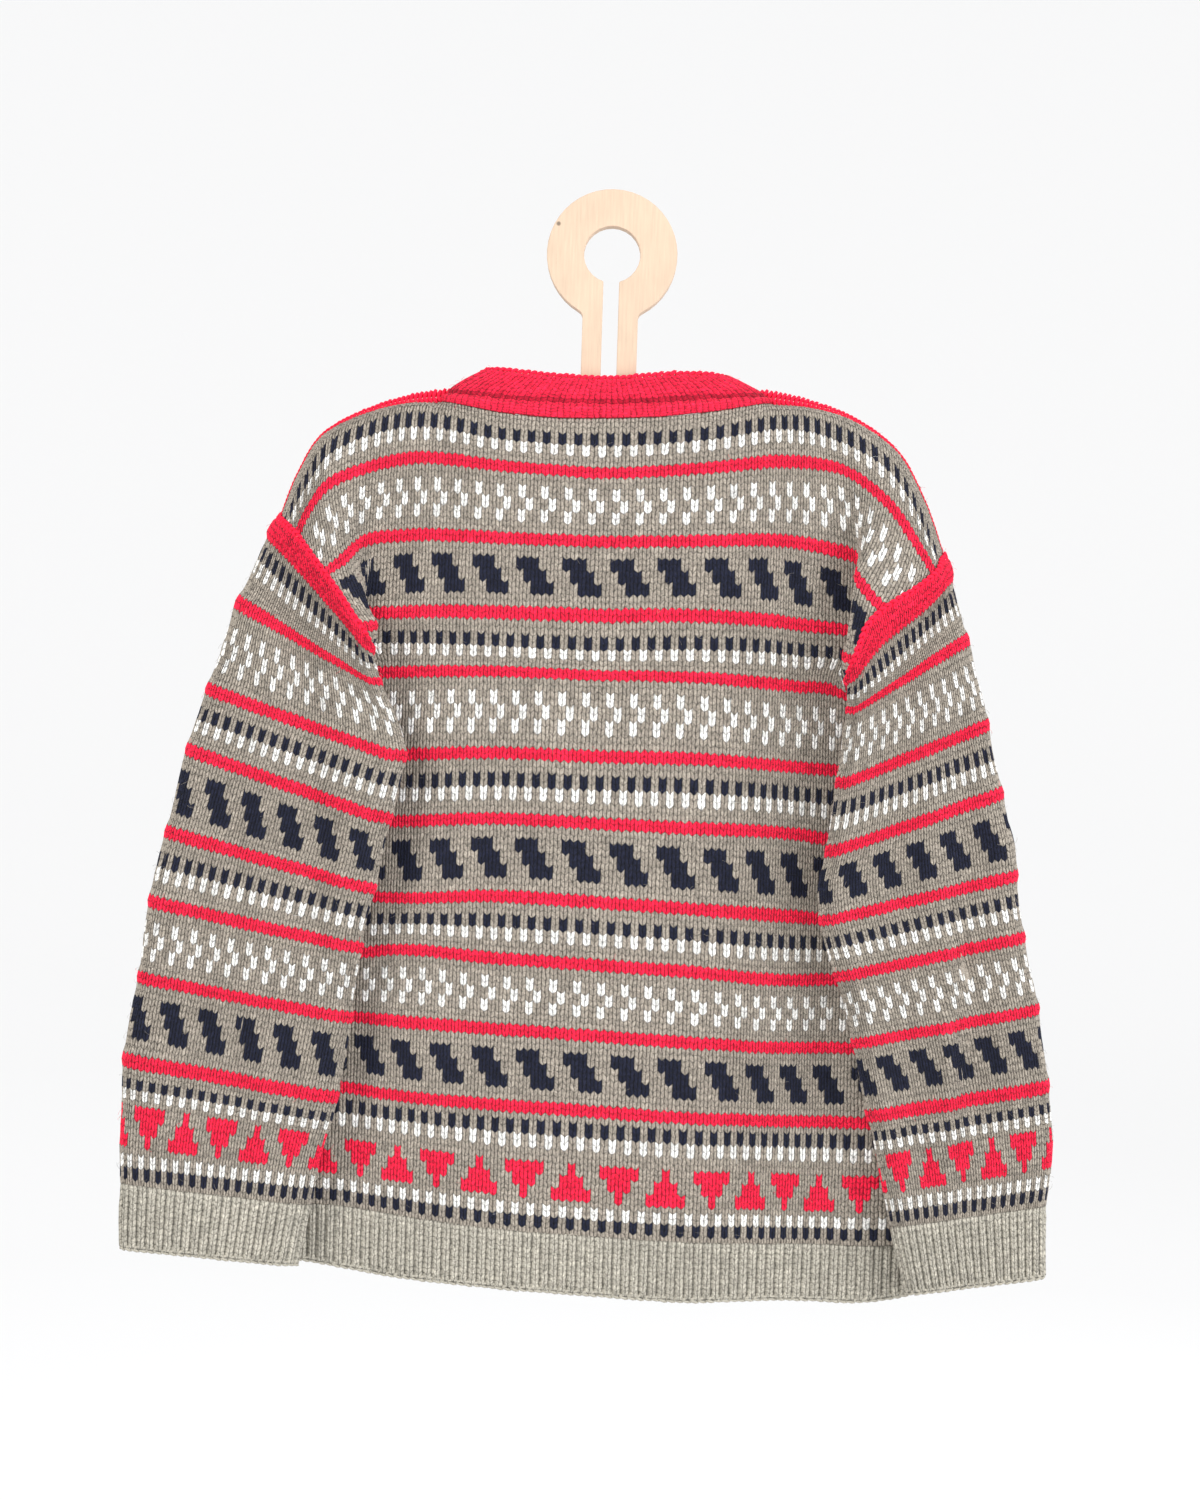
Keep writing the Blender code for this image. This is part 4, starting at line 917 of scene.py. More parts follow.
def knitted_wall(name, points, turn, slot, colors, wales, lift, shift, closed=False, free_end=False):
    """A closed wall of knitting on the form of a solid, its points and the ways out of it.

    name: the solid's. colors: a color for each face row and column. wales: the UV of each column."""
    rows, columns = points.shape[:2]
    spans = columns if closed else columns - 1
    vectors = facing(points, turn, closed)
    points = points + soft_folds(name, points, vectors, closed, free_end)[..., None] * vectors
    if not closed:
        off_ends = (np.abs(points - points[:, (k,)]).max(axis=-1) for k in (0, columns - 1))
        ended = np.minimum(*off_ends) < SAME_POINT
        lift, shift = np.where(ended, 0, lift), np.where(ended, 0, shift)
    later = np.concatenate((points[1:] - points[:-1], np.zeros((1, columns, 3))))
    before = np.concatenate((np.zeros((1, columns, 3)), points[1:] - points[:-1]))
    moved = np.where(shift[..., None] > 0, later, before) * shift[..., None]
    outer = points + moved + vectors * lift[..., None]
    inner_rows = sorted({*range(0, rows, INNER_ROWS), rows - 1})
    inner_columns = sorted({*range(0, columns, INNER_COLUMNS), *([] if closed else [columns - 1])})
    inner = (points - CLOTH_WALL * vectors)[np.ix_(inner_rows, inner_columns)]

    near = np.arange(rows * columns).reshape(rows, columns)
    far = rows * columns + np.arange(inner.shape[0] * inner.shape[1]).reshape(inner.shape[:2])
    faces, uvs, tints, shows = [], [], [], []
    for row in range(rows - 1):
        for column in range(spans):
            after = (column + 1) % columns
            shows.append(1.0)
            faces.append((near[row, column], near[row + 1, column], near[row + 1, after], near[row, after]))
            left, right = wales[column], wales[column + 1]
            uvs += [(left, row), (left, row + 1), (right, row + 1), (right, row)]
            tint = YARN_VARIES[row % len(YARN_VARIES), int(left) % YARN_VARIES.shape[1]]
            tints += [[part * tint for part in colors[row][column]]] * 4
    plain = YARN["red" if slot == "red_rib" else "grey"]
    back_faces = []
    inner_spans = far.shape[1] if closed else far.shape[1] - 1
    for row in range(far.shape[0] - 1):
        for column in range(inner_spans):
            after = (column + 1) % far.shape[1]
            back_faces.append((far[row, after], far[row + 1, after], far[row + 1, column], far[row, column]))
    ring = [0] if closed else []
    across_at = list(range(columns)) + ([columns] if closed else [])
    inner_at = inner_columns + ([columns] if closed else [])
    for row, inner_row in ((0, 0), (-1, -1)):
        near_line = list(near[row]) + [near[row][k] for k in ring]
        far_line = list(far[inner_row]) + [far[inner_row][k] for k in ring]
        back_faces += bridge(near_line, across_at, far_line, inner_at)
    if not closed:
        for column in (0, -1):
            back_faces += bridge(list(near[:, column]), list(range(rows)), list(far[:, column]), inner_rows)
    for face in back_faces:
        uvs += [BACKING_UV] * len(face)
        tints += [plain] * len(face)

    places = (np.concatenate((outer.reshape(-1, 3), inner.reshape(-1, 3))) - TABLE_ZERO) * MM
    mesh = bpy.data.meshes.new(name + "_knit")
    mesh.from_pydata(places.tolist(), [], [tuple(int(i) for i in face) for face in faces + back_faces])
    layer = mesh.uv_layers.new(name="stitches")
    layer.data.foreach_set("uv", np.array(uvs, dtype=np.float32).ravel())
    # For ribbed pieces the colours given include painted shade in the valleys and in the neckband's groove.
    dye = mesh.color_attributes.new("yarn", "FLOAT_COLOR", "CORNER")
    outside = mesh.attributes.new("shows", "FLOAT", "FACE")
    outside.data.foreach_set("value", shows + [0.0] * len(back_faces))
    rgba = np.ones((len(tints), 4), dtype=np.float32)
    rgba[:, :3] = tints
    dye.data.foreach_set("color", rgba.ravel())
    build = bmesh.new()
    build.from_mesh(mesh)
    bmesh.ops.remove_doubles(build, verts=build.verts, dist=MERGE_DISTANCE)
    bmesh.ops.recalc_face_normals(build, faces=build.faces)
    build.to_mesh(mesh)
    build.free()
    mesh.shade_smooth()
    mesh.materials.append(WOOL[slot])
    piece = add_object(mesh.name, mesh)
    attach(piece, "root")
    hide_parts(name)
    print(name, len(mesh.vertices), "points", sum(len(p.vertices) - 2 for p in mesh.polygons), "triangles")
    return piece, points, vectors


# Stranded knitting draws in, and the plain red rows between the bands stand out by this much, in mm.
RED_PUCKER = 0.9
PUCKER_SPREAD = (0.25, 0.5, 0.25)
# How unevenly single stitches are lifted, in mm, and shifted, in rows.
LIFT_VARIES, SHIFT_VARIES = 0.07, 0.035


def uneven(rows, stitch, spread):
    """Chance, the same for all points of one stitch in one row."""
    return CHANCE.normal(0, spread, (rows, stitch[-1] + 1))[:, stitch]


def plain_relief(chart_rows, columns, closed=False):
    """How far each point of plain knitting is lifted, in mm, and shifted, in rows."""
    rows = len(chart_rows) + 1
    red = np.array([row[0] == "red" for row in chart_rows], float)
    pucker = np.convolve(np.repeat(red, 2), PUCKER_SPREAD, mode="same")[::2]
    pucker = RED_PUCKER * np.append(pucker, pucker[-1])
    quarter = np.arange(columns) % STITCH_COLUMNS
    stitch = np.arange(columns) // STITCH_COLUMNS
    lift, shift = (
        np.tile(np.array(form)[quarter], (rows, 1)) + uneven(rows, stitch, spread)
        for form, spread in ((RIDGES, LIFT_VARIES), (ZIGZAG, SHIFT_VARIES))
    )
    lift += pucker[:, None]
    shift[(0, -1), :] = 0
    if not closed:
        lift[:, (0, -1)] = 0
    return lift, shift

# %% [markdown]
# ## The body
#
# The back panel is what shows. Its rows of stitches are put between the measured rows, and each row is then
# walked from the centre line outwards, one stitch at a time, until it meets the armhole or the side seam.

# %% Back panel
# The body's stitches on each side of its middle one.
BODY_WALES = 62
# Where the wales of the body lie, as mm along a row from the centre line. They crowd towards the arms.
WALE_PLACES = (
    (-62, -234), (-30, -112), (-24, -93.5), (-18, -73.5), (-12, -52), (-6, -29.5), (0, -5.5),
    (6, 18.5), (12, 42), (18, 65.5), (24, 85), (30, 102), (36, 119), (62, 222),
)


def stitch_rows(lattice, knots, edges):
    """The rows of a grid at the edges of the stitch rows."""
    flat = lattice.reshape(len(lattice), -1)
    return smooth(knots, flat, edges).reshape(len(edges), lattice.shape[1], 3)


def walk_stitches(rows, half_wales):
    """Points four to a stitch along each row, counted from its middle point."""
    wales = np.arange(-half_wales * STITCH_COLUMNS, half_wales * STITCH_COLUMNS + 1) / STITCH_COLUMNS
    known = np.array(WALE_PLACES)
    steps = smooth(known[:, 0], known[:, 1], wales - 0.5)[:, 0]
    walked = []
    for row in rows:
        lengths = chord_lengths(row)
        at = np.clip(lengths[len(row) // 2] + steps, 0, lengths[-1])
        walked.append(smooth(lengths, row, at))
    return np.array(walked)


def knit_panel(name, points, turn, half_wales):
    """A panel of the body, with the chart counted from its middle stitch."""
    wales = np.arange(points.shape[1] - 1) // STITCH_COLUMNS - half_wales
    colors = [[YARN[stitch_color(*row, wale)] for wale in wales] for row in BODY_ROWS]
    lift, shift = plain_relief(BODY_ROWS, points.shape[1])
    counted = np.arange(points.shape[1]) / STITCH_COLUMNS
    return knitted_wall(name, points, turn, "grey_knit", colors, counted, lift, shift)[0]


back_rows = walk_stitches(stitch_rows(BACK, BACK_MESH_ROWS, BODY_EDGES), BODY_WALES)
back_panel = knit_panel("back_panel", back_rows, -1, BODY_WALES)

# %% Front panel
FRONT_WALES = 43
FRONT_COLUMNS = 2 * FRONT_WALES * STITCH_COLUMNS + 1


def front_rows():
    """Level rows of the front panel. Above the neckline and the shoulders they fall together."""
    knots = np.arange(FRONT.shape[1])
    lengths = chord_lengths(FRONT[-1])
    places = np.interp(np.linspace(0, lengths[-1], FRONT_COLUMNS), lengths, knots)
    across = np.array([smooth(knots, row, places) for row in FRONT])
    heights = -BODY_EDGES
    fitted = np.empty((len(heights), FRONT_COLUMNS, 3))
    for column in range(FRONT_COLUMNS):
        line = across[:, column]
        drop = np.minimum.accumulate(line[:, 2])
        bottom = heights[-1] - drop[-1]
        level = heights - bottom * ((BODY_EDGES - BODY_EDGES[0]) / (BODY_EDGES[-1] - BODY_EDGES[0])) ** 2
        for axis in (0, 1, 2):
            fitted[:, column, axis] = np.interp(-level, -drop, line[:, axis])
    return fitted


front_fine = front_rows()
front_panel = knit_panel("front_panel", front_fine, 1, FRONT_WALES)

# %% [markdown]
# ## The sleeves
#
# A sleeve is a tube that hangs flat, so its grid closes on itself. Its first rows are the red band that
# covers the armhole seam. That band is a soft roll that stands a little proud of the cloth.

# %% Sleeves
SLEEVE_WALES = 74
BAND_ROLL = 1.6
BAND_WIDTH = 10.0
BAND_POWER = 0.7


def round_points(points, shares, columns):
    """Points evenly round each ring of a tube, with the curve carried on past its ends."""
    at = np.arange(columns) / columns
    knots = np.concatenate((shares[-3:] - 1, shares, shares[:3] + 1))
    rings = [smooth(knots, np.concatenate((ring[-3:], ring, ring[:3])), at) for ring in points]
    return np.array(rings)


def knit_sleeve(name, turn, mirrored):
    table, points, shares = SLEEVES[name]
    columns = SLEEVE_WALES * STITCH_COLUMNS
    cloth = (0.0, *SLEEVE_MESH_CLOTH)
    rings = stitch_rows(round_points(points, shares, columns), cloth, SLEEVE_EDGES)
    lift, shift = plain_relief(SLEEVE_ROWS, columns, closed=True)
    roll = np.clip(SLEEVE_EDGES / BAND_WIDTH, 0, 1)
    lift += (BAND_ROLL * np.sin(math.pi * roll) ** BAND_POWER)[:, None]
    stitches = np.arange(columns) // STITCH_COLUMNS
    if mirrored:
        stitches = SLEEVE_WALES - 1 - stitches
    colors = [[YARN[stitch_color(*row, wale)] for wale in stitches] for row in SLEEVE_ROWS]
    wales = np.arange(columns + 1) / STITCH_COLUMNS
    return knitted_wall(name, rings, turn, "grey_knit", colors, wales, lift, shift, closed=True)


sleeve_left, left_fine, left_ways = knit_sleeve("sleeve_left", -1, False)
sleeve_right, right_fine, right_ways = knit_sleeve("sleeve_right", 1, True)

# %% [markdown]
# ## Ribs
#
# Hem, cuffs and neckband are ribbed: one column of knit stitches stands up, the next lies back. The grid has
# six points to a rib. Two of them make the legs of the V, and the ones beside them drop into the valley.

# %% Ribbed bands
RIB_LIFTS = (-0.95, -0.3, 0.5, 0.2, 0.5, -0.3)
RIB_SHIFTS = (0.0, -0.25, 0.0, 0.25, 0.0, -0.25)
RIB_PLACES = (0.0, 0.16, 0.33, 0.5, 0.67, 0.84)
RIB_UVS = (0.06, 0.14, 0.28, 0.5, 0.72, 0.86)
# Painted shade in the valleys between ribs.
VALLEY_SHADE = 0.8
RIB_OVERLAP = 0.6
RIB_LIFT_VARIES, RIB_SHIFT_VARIES = 0.09, 0.06


def resample(line, ribs, closed):
    """Points along a line, as RIB_PLACES says for each rib."""
    source = np.concatenate((line, line[:1])) if closed else line
    lengths = chord_lengths(source)
    places = (np.arange(ribs)[:, None] + np.array(RIB_PLACES)).ravel()
    if not closed:
        places = np.append(places, ribs)
    at = places / ribs * lengths[-1]
    return np.stack([np.interp(at, lengths, source[:, axis]) for axis in range(3)], axis=-1)


def rib_relief(rows, ribs, closed, strength):
    """Lift and shift of a ribbed grid. strength: for each row, how much of the ribs shows."""
    count = ribs * len(RIB_LIFTS) + (0 if closed else 1)
    kind = np.arange(count) % len(RIB_LIFTS)
    lift = np.array(RIB_LIFTS)[kind] * np.asarray(strength)[:, None]
    shift = np.tile(np.array(RIB_SHIFTS)[kind], (rows, 1))
    shift[(0, -1), :] = 0
    wales = np.append((np.arange(ribs)[:, None] + np.array(RIB_UVS)).ravel(), ribs + RIB_UVS[0])
    stitch = np.arange(count) // len(RIB_LIFTS)
    lift += uneven(rows, stitch, RIB_LIFT_VARIES)
    shift += uneven(rows, stitch, RIB_SHIFT_VARIES)
    return lift, shift, wales


def rib_colors(ribs, yarn, valley, row_shades):
    """Colors of a ribbed grid: painted shade darkens the valleys, and each row can be darkened by its own
    painted shade.
    """
    across = np.tile((valley, 1, 1, 1, 1, valley), ribs)
    return np.array(row_shades)[:, None, None] * across[:, None] * np.array(YARN[yarn])


HEM_ROWS = 11
# Rows over which a band's ribs grow to their full height.
RIB_GROWTH = 1.5


def knit_band(name, top, bottom, ribs, turn, closed=False):
    """A ribbed band between two lines, with the points and the ways out of its free edge."""
    share = np.linspace(0, 1, HEM_ROWS + 1)[:, None, None]
    grid = top * (1 - share) + bottom * share
    grid[0, :, 2] += RIB_OVERLAP
    growth = np.minimum(1, np.arange(HEM_ROWS + 1) / RIB_GROWTH)
    lift, shift, wales = rib_relief(HEM_ROWS + 1, ribs, closed, growth)
    colors = rib_colors(ribs, "rib", VALLEY_SHADE, [1] * HEM_ROWS)
    piece, points, ways = knitted_wall(
        name, grid, turn, "grey_rib", colors, wales, lift, shift, closed=closed, free_end=True,
    )
    return piece, (points[-1], ways[-1])


def knit_hem(name, edge, lower_edge, turn):
    top = resample(edge, HEM_RIBS, False)
    bottom = top * (HEM_NARROWING, 1, 1)
    bottom[:, 2] = smooth(*zip(*lower_edge), top[:, 0])[:, 0]
    return knit_band(name, top, bottom, HEM_RIBS, turn)


def knit_cuff(name, sleeve_name, end, turn):
    table, _, shares = SLEEVES[sleeve_name]
    low = round_points(np.array([sleeve_ring(table, CUFF_BOTTOM_CLOTH, shares)]), shares, len(end))[0]
    top, bottom = (resample(line, CUFF_RIBS, True) for line in (end, low))
    return knit_band(name, top, bottom, CUFF_RIBS, turn, closed=True)


hem_back, hem_back_end = knit_hem("hem_rib_back", BACK[-1], HEM_EDGE, -1)
hem_front, hem_front_end = knit_hem("hem_rib_front", front_fine[-1], FRONT_HEM_EDGE, 1)
cuff_left, cuff_left_end = knit_cuff("cuff_left", "sleeve_left", left_fine[-1], -1)
cuff_right, cuff_right_end = knit_cuff("cuff_right", "sleeve_right", right_fine[-1], 1)

# %% Neckband
NECK_ROWS = 12
# Painted shade in the neckband's valleys.
RED_VALLEY_SHADE = 0.95
# How far up the neckband each of its levels is.
NECK_RISES = (0, 0.36, 0.44, 0.52, 1)
# The lower edge dips at the front of each end, so that it covers the corner of the front panel.
NECK_CORNER_DROP = 4.5
NECK_CORNER_WIDTH = 0.1
NECK_CORNER_DEPTH = 5.0
# row of the neckband, share of the ribs' height, extra lift in mm, and painted shade, darkest in the groove
# at row 5
NECK_PROFILE = (
    (0, 0.00, 0.7, 1),
    (3, 0.00, 1.2, 1),
    (4, 0.00, 0.8, 0.85),
    (5, 0.00, -0.7, 0.5),
    (6, 0.15, 0.3, 0.85),
    (7, 0.35, 0.6, 1),
    (12, 0.50, 0.4, 1),
)


def neck_lines():
    """The neckband's levels as closed lines, from its lower edge up, along the back and then the front."""
    start, end = NECK_COLUMNS
    seam = np.concatenate((BACK[0, start : end + 1], FRONT[0, start : end + 1][::-1][1:-1]))
    loop = np.concatenate((seam, seam[:1]))
    lengths = chord_lengths(loop)
    base = resample(seam, NECK_RIBS, True)
    at = (np.arange(NECK_RIBS)[:, None] + np.array(RIB_PLACES)).ravel() / NECK_RIBS * lengths[-1]
    in_front = at > lengths[end - start]
    share = base[:, 0] / NECK_HALF_WIDTH
    lines = []
    for number, level in enumerate(NECK_LEVELS):
        left_x, left_z, right_x, right_z, z_left, z_middle, z_right, _, half_depth = level
        x = np.where(share < 0, -share * left_x, share * right_x)
        depth = half_depth * superellipse(share)
        y = np.where(in_front, depth, -depth)
        knots = (left_x, left_x * NECK_KNOT_SHARE, 0, right_x * NECK_KNOT_SHARE, right_x)
        back_z = smooth(knots, (left_z, z_left, z_middle, z_right, right_z), x)
        z = np.where(in_front, front_neck_z(x, level), back_z[:, 0])
        if number == 0:
            near_end = np.exp(-(((1 - np.abs(share)) / NECK_CORNER_WIDTH) ** 2))
            x, y = base[:, 0], base[:, 1]
            z = base[:, 2] - NECK_CORNER_DROP * near_end * np.clip(y / NECK_CORNER_DEPTH, 0, 1)
        lines.append(np.stack((x, y, z), axis=-1))
    return np.array(lines)


neck_grid = stitch_rows(neck_lines(), NECK_RISES, np.linspace(0, 1, NECK_ROWS + 1))
at, *levels = np.array(NECK_PROFILE).T
strength, stand_out, row_shade = (np.interp(np.arange(NECK_ROWS + 1), at, level) for level in levels)
lift, shift, wales = rib_relief(NECK_ROWS + 1, NECK_RIBS, True, strength)
lift = lift + stand_out[:, None]
colors = rib_colors(NECK_RIBS, "red", RED_VALLEY_SHADE, row_shade[:-1])
neckband, neck_fine, neck_ways = knitted_wall(
    "neckband", neck_grid, 1, "red_rib", colors, wales, lift, shift, closed=True, free_end=True,
)

# %% [markdown]
# ## Edges and seams
#
# Edges and seams are chains of the same small V, and a chain follows a line. That is work for Geometry
# Nodes: the tree reads a line of points, puts points along it at even steps, and sets a V on each of them. It
# reads the width and the way out of the cloth from the line, turns every V to the line and the cloth, and
# scales its width a little by chance. The tree's named inputs hold the sizes.

# %% The tree of stitch chains
CHAIN_INPUTS = (
    ("Stitch length", "NodeSocketFloat", 0.004),
    ("Leg turn", "NodeSocketFloat", 0.42),
    ("Leg thickness", "NodeSocketFloat", 0.34),
    ("Unevenness", "NodeSocketFloat", 0.12),
    ("Seed", "NodeSocketInt", 5),
    ("Material", "NodeSocketMaterial", None),
)
# A leg of the V: its length, how far it lies from the middle, and the faces of the ball it is made from.
LEG_LENGTH, LEG_ASIDE = 0.78, 0.26
LEG_BALL = {"Segments": 6, "Rings": 4, "Radius": 1.0}


def new_group(name, inputs):
    """A Geometry Nodes group with named inputs, its tree, and what the tree is given."""
    group = bpy.data.node_groups.new(name, "GeometryNodeTree")
    for label, kind, *_ in (("Geometry", "NodeSocketGeometry"), *inputs):
        group.interface.new_socket(label, in_out="INPUT", socket_type=kind)
    group.interface.new_socket("Geometry", in_out="OUTPUT", socket_type="NodeSocketGeometry")
    tree = Tree(group)
    return group, tree, tree.node("NodeGroupInput").outputs


def stored(tree, label, kind):
    return tree.node("GeometryNodeInputNamedAttribute", {"Name": label}, data_type=kind).outputs[0]


def chance(tree, low, high, seed):
    return tree.node("FunctionNodeRandomValue", {2: low, 3: high, "Seed": seed}, data_type="FLOAT").outputs[1]


def finish_group(tree, given, copies):
    """Ends a tree: copies of one shape on points, made real, with the material on them."""
    placed = tree.node("GeometryNodeInstanceOnPoints", copies).outputs[0]
    real = tree.node("GeometryNodeRealizeInstances", {0: placed}).outputs[0]
    dressed = tree.node("GeometryNodeSetMaterial", {"Geometry": real, "Material": given["Material"]})
    tree.node("NodeGroupOutput", {0: dressed.outputs[0]})


def chain_tree():
    """A node tree that turns a line into a chain of V stitches."""
    group, tree, given = new_group("stitch_chain", CHAIN_INPUTS)
    curve = tree.node("GeometryNodeMeshToCurve", {0: given["Geometry"]}).outputs[0]
    step = {"Curve": curve, "Length": given["Stitch length"]}
    steps = tree.node("GeometryNodeCurveToPoints", step, mode="LENGTH").outputs
    align = "FunctionNodeAlignRotationToVector"
    along = tree.node(align, {"Vector": steps["Tangent"]}, axis="X").outputs[0]
    out = {"Rotation": along, "Vector": stored(tree, "out", "FLOAT_VECTOR")}
    upright = tree.node(align, out, axis="Z", pivot_axis="X").outputs[0]

    legs = tree.node("GeometryNodeJoinGeometry")
    ball = tree.node("GeometryNodeMeshUVSphere", LEG_BALL).outputs["Mesh"]
    size = tree.combine(LEG_LENGTH, given["Leg thickness"], given["Leg thickness"])
    for side in (-1, 1):
        turn = tree.combine(z=tree.math("MULTIPLY", given["Leg turn"], side))
        form = {"Geometry": ball, "Translation": (0, side * LEG_ASIDE, 0), "Rotation": turn, "Scale": size}
        tree.feed(legs, {0: tree.node("GeometryNodeTransform", form).outputs[0]})

    low, high = (tree.math(way, 1.0, given["Unevenness"]) for way in ("SUBTRACT", "ADD"))
    wide = tree.math("MULTIPLY", stored(tree, "width", "FLOAT"), chance(tree, low, high, given["Seed"]))
    scale = tree.combine(given["Stitch length"], wide, wide)
    copies = {"Points": steps["Points"], "Instance": legs.outputs[0], "Rotation": upright, "Scale": scale}
    finish_group(tree, given, copies)
    return group


CHAIN_TREE = chain_tree()

# %% Wool of the chains
def spun_wool(name, color, heather=0.25):
    """Plain wool of one color, for stitches that are modelled whole."""
    made, tree, shader = new_material(name)
    fibres = tree.noise(*FIBRES, tree.place())
    flecks = tree.spread(fibres, 0.32, 0.68, 1.0 - heather, 1.0 + heather)
    look = {"Base Color": tree.scaled(color, flecks), "Normal": tree.bump(fibres, 0.8, 0.0004)}
    tree.feed(shader, WOOL_FINISH | look)
    return made


CHAIN_WOOL = {yarn: spun_wool(yarn + "_chain_wool", YARN[yarn]) for yarn in ("grey", "rib", "red")}


def run_tree(piece, group, inputs, changes):
    """Gives a piece what a node tree makes of it, as a plain mesh."""
    modifier = piece.modifiers.new(group.name, "NODES")
    modifier.node_group = group
    values = {label: value for label, _, value in inputs} | changes
    for socket in group.interface.items_tree:
        if socket.in_out == "INPUT" and socket.name in values:
            modifier[socket.identifier] = values[socket.name]
    evaluated = piece.evaluated_get(bpy.context.evaluated_depsgraph_get())
    mesh = bpy.data.meshes.new_from_object(evaluated)
    piece.modifiers.clear()
    piece.data = mesh
    mesh.name = piece.name
    mesh.shade_smooth()


def stitch_chain(name, line, ways, widths, length, yarn, closed=False):
    """A chain of V stitches along a line. widths and length are in mm."""
    if closed:
        line, ways = np.concatenate((line, line[:1])), np.concatenate((ways, ways[:1]))
    mesh = bpy.data.meshes.new(name + "_line")
    mesh.from_pydata(((line - TABLE_ZERO) * MM).tolist(), [(k, k + 1) for k in range(len(line) - 1)], [])
    out = mesh.attributes.new("out", "FLOAT_VECTOR", "POINT")
    out.data.foreach_set("vector", np.asarray(ways, dtype=np.float32).ravel())
    wide = mesh.attributes.new("width", "FLOAT", "POINT")
    wide.data.foreach_set("value", (np.broadcast_to(widths, len(line)) * MM).astype(np.float32))
    piece = add_object(name, mesh)
    run_tree(piece, CHAIN_TREE, CHAIN_INPUTS, {"Stitch length": length * MM, "Material": CHAIN_WOOL[yarn]})
    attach(piece, "root")
    print(name, len(piece.data.polygons), "faces")

# %% Cast-off edges
# A chain along each free edge, over the middle of the wall.
# name, points and ways, yarn, length, width, closed
EDGES = (
    ("hem_back_edge", hem_back_end, "rib", 3.9, 2.4, False),
    ("hem_front_edge", hem_front_end, "rib", 3.9, 2.4, False),
    ("cuff_left_edge", cuff_left_end, "rib", 3.7, 2.4, True),
    ("cuff_right_edge", cuff_right_end, "rib", 3.7, 2.4, True),
    ("neck_edge", (neck_fine[-1], neck_ways[-1]), "red", 3.2, 3.4, True),
)
for name, (line, ways), yarn, length, width, closed in EDGES:
    stitch_chain(name, line - CLOTH_WALL / 2 * ways, ways, width, length, yarn, closed)

# %% Shoulder edging, armhole chains and side seams
# The red edging over each shoulder. distance from the centre line, width, height above the seam, in mm
SHOULDER_EDGING = (
    (84, 6.6, 2.4),
    (96, 5.2, 1.8),
    (110, 3.4, 1.1),
    (126, 2.2, 0.6),
    (146, 1.3, 0.2),
    (175, 1, 0),
)
SHOULDER_POINTS = 40
# How far the edging goes on under the neckband, as a share of its last step.
EDGING_OVERLAP = 0.4
# How much the edging's stitches face upwards.
EDGING_TILT = 0.35
SHOULDER_STITCH = 2.3
# Chains of the seams: width, length, and how far they stand out, in mm
ARMHOLE_CHAIN = (3.0, 3.4, 0.9)
SIDE_CHAIN = (2.0, 3.6, 0.3)


def under_neckband(knots):
    """A shoulder seam's points, and one more past the last."""
    return np.concatenate((knots, [knots[-1] + EDGING_OVERLAP * (knots[-1] - knots[-2])]))


def shoulder_edging(name, knots):
    """A chain along the shoulder seam, from left to right."""
    lengths = chord_lengths(knots)
    line = smooth(lengths, knots, np.linspace(0, lengths[-1], SHOULDER_POINTS))
    upward = unit(np.cross(unit(np.gradient(line, axis=0)), (0, 1, 0)))
    upward = upward * np.sign(upward[:, 2:])
    sizes = np.array(SHOULDER_EDGING)
    width, rise = (np.interp(np.abs(line[:, 0]), sizes[:, 0], sizes[:, column]) for column in (1, 2))
    ways = unit(upward * EDGING_TILT + (0, -1, 0))
    stitch_chain(name, line + upward * rise[:, None], ways, width, SHOULDER_STITCH, "red")


def side_seam(name, line):
    """A grey chain down the side seam, from the underarm to the hem."""
    outward = np.tile((np.sign(line[0, 0]), 0.0, 0.0), (len(line), 1))
    width, length, out = SIDE_CHAIN
    stitch_chain(name, line + out * outward, outward, width, length, "grey")


shoulder_edging("shoulder_edging_left", under_neckband(BACK[0, : NECK_COLUMNS[0] + 1]))
shoulder_edging("shoulder_edging_right", under_neckband(BACK[0, NECK_COLUMNS[1] :][::-1])[::-1])
for side, points, ways in (("left", left_fine[0], left_ways[0]), ("right", right_fine[0], right_ways[0])):
    width, length, out = ARMHOLE_CHAIN
    stitch_chain("armhole_chain_" + side, points + out * ways, ways, width, length, "red", True)
side_seam("side_seam_left", BACK[ROWS_TO_UNDERARM:, 0])
side_seam("side_seam_right", BACK[ROWS_TO_UNDERARM:, -1])

# %% [markdown]
# ## Loose fibres
#
# Wool is hairy, and its outline against a pale wall shows it. A second tree scatters short bent hairs over
# the outer side of a piece. It takes each hair's color from the stitch below, through the attribute "yarn".

# %% The tree of hairs
FUZZ_INPUTS = (
    ("Hairs a square metre", "NodeSocketFloat", 26000.0),
    ("Hair length", "NodeSocketFloat", 0.0026),
    ("Hair thickness", "NodeSocketFloat", 0.00004),
    ("Seed", "NodeSocketInt", 3),
    ("Material", "NodeSocketMaterial", None),
)
# A bent hair, one unit long.
HAIR_BEND = {"Resolution": 3, "Start": (0, 0, 0), "Middle": (0.35, 0.1, 0.5), "End": (0.9, -0.15, 0.42)}


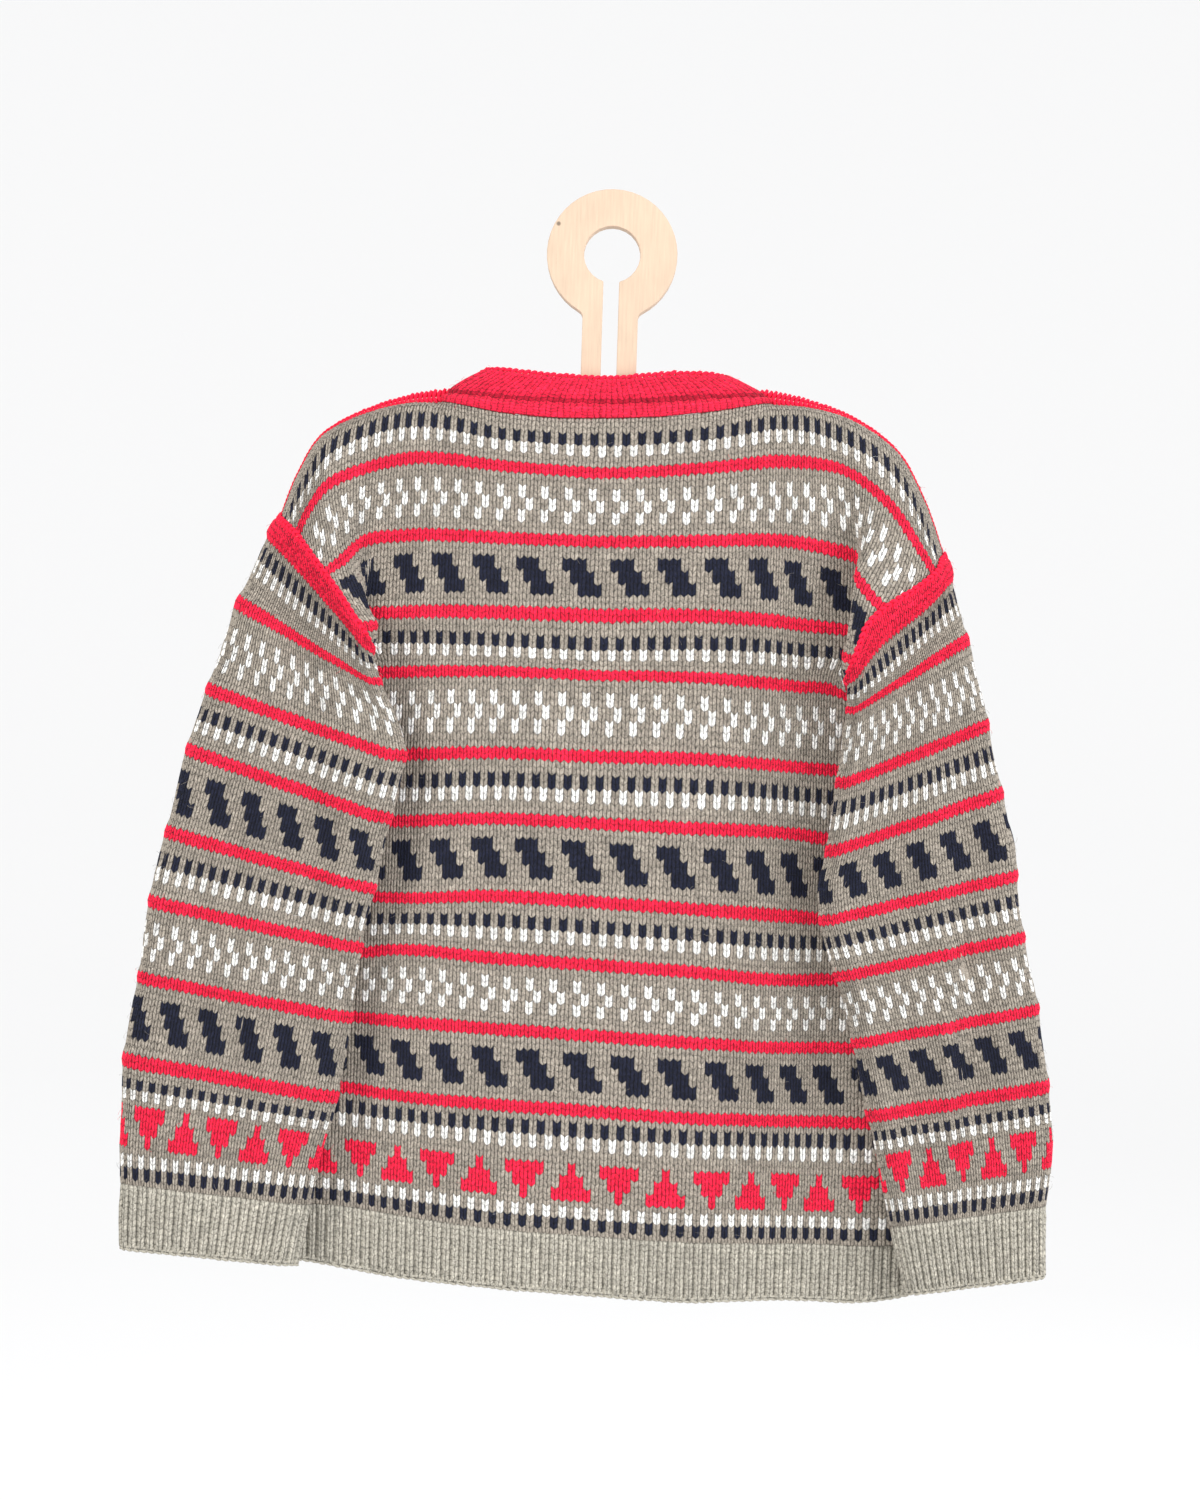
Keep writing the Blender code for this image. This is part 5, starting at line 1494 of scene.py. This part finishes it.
def fuzz_tree():
    """A node tree that scatters bent hairs over the faces that show."""
    group, tree, given = new_group("wool_fuzz", FUZZ_INPUTS)
    density = tree.math("MULTIPLY", stored(tree, "shows", "FLOAT"), given["Hairs a square metre"])
    spots = {"Mesh": given["Geometry"], "Density": density, "Seed": given["Seed"]}
    roots = tree.node("GeometryNodeDistributePointsOnFaces", spots).outputs
    radius = tree.math("DIVIDE", given["Hair thickness"], given["Hair length"])
    ring = tree.node("GeometryNodeCurvePrimitiveCircle", {"Resolution": 3, "Radius": radius})
    bend = tree.node("GeometryNodeCurveQuadraticBezier", HAIR_BEND)
    sweep = {"Curve": bend.outputs[0], "Profile Curve": ring.outputs[0]}
    about = tree.combine(z=chance(tree, 0.0, math.tau, given["Seed"]))
    turn = {0: roots["Rotation"], 1: about}
    length = chance(tree, 0.5, 1.5, tree.math("ADD", given["Seed"], 1.0))
    copies = {
        "Points": roots["Points"],
        "Instance": tree.node("GeometryNodeCurveToMesh", sweep).outputs[0],
        "Rotation": tree.node("FunctionNodeRotateRotation", turn, rotation_space="LOCAL").outputs[0],
        "Scale": tree.math("MULTIPLY", length, given["Hair length"]),
    }
    finish_group(tree, given, copies)
    return group


def hair_wool():
    made, tree, shader = new_material("loose_fibres")
    # The hairs take the stitches' colour, with the painted shade of the ribs' valleys and the neckband's
    # groove.
    yarn = tree.node("ShaderNodeAttribute", attribute_name="yarn").outputs["Color"]
    tree.feed(shader, {"Base Color": yarn, "Roughness": 0.8})
    return made


FUZZ_TREE = fuzz_tree()
HAIR_WOOL = hair_wool()

for piece in (back_panel, front_panel, sleeve_left, sleeve_right, neckband):
    hairs = add_object(piece.name.replace("_knit", "_fuzz"), piece.data.copy())
    run_tree(hairs, FUZZ_TREE, FUZZ_INPUTS, {"Material": HAIR_WOOL})
    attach(hairs, "root")
    print(hairs.name, len(hairs.data.polygons), "faces")

# %% [markdown]
# ## The hanger
#
# The hanger is cut from pale birch plywood. The grain runs up and down its faces, and the thin dark lines of
# the glued layers show only where the board is cut, because they depend on depth alone.

# %% Birch plywood
KNOT = (-0.0275, -0.0045, 0.0004)
GLUE_SPACING = 0.0009
GRAIN_STRETCH = (1.0, 1.0, 0.06)
GRAIN, BOARD_PATCHES = (900.0, 5.0), (45.0, 2.0)
BIRCH = (0.60, 0.455, 0.335)


def birch_plywood():
    made, tree, shader = new_material("birch_plywood")
    place = tree.place()
    stretched = tree.node("ShaderNodeMapping", {"Scale": GRAIN_STRETCH, "Vector": place}).outputs[0]
    grain = tree.noise(*GRAIN, stretched)
    depth = tree.node("ShaderNodeSeparateXYZ", {0: place}).outputs[1]
    off_knot = tree.node("ShaderNodeVectorMath", {0: place, 1: KNOT}, operation="DISTANCE").outputs["Value"]
    tone = tree.product(
        tree.spread(grain, 0.3, 0.7, 0.9, 1.05),
        tree.spread(tree.noise(*BOARD_PATCHES, place), 0.3, 0.7, 0.95, 1.04),
        tree.spread(tree.math("PINGPONG", depth, GLUE_SPACING), 0.0, 0.0003, 0.72, 1.0),
        tree.spread(off_knot, 0.0007, 0.0014, 0.35, 1.0),
    )
    look = {
        "Base Color": tree.scaled(BIRCH, tone),
        "Normal": tree.bump(grain, 0.25, 0.0002),
        "Roughness": 0.6,
        "Specular IOR Level": 0.35,
    }
    tree.feed(shader, look)
    return made


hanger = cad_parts["hanger"]
for slot in hanger.material_slots:
    slot.material = birch_plywood()
print("hanger:", len(hanger.data.polygons), "faces")
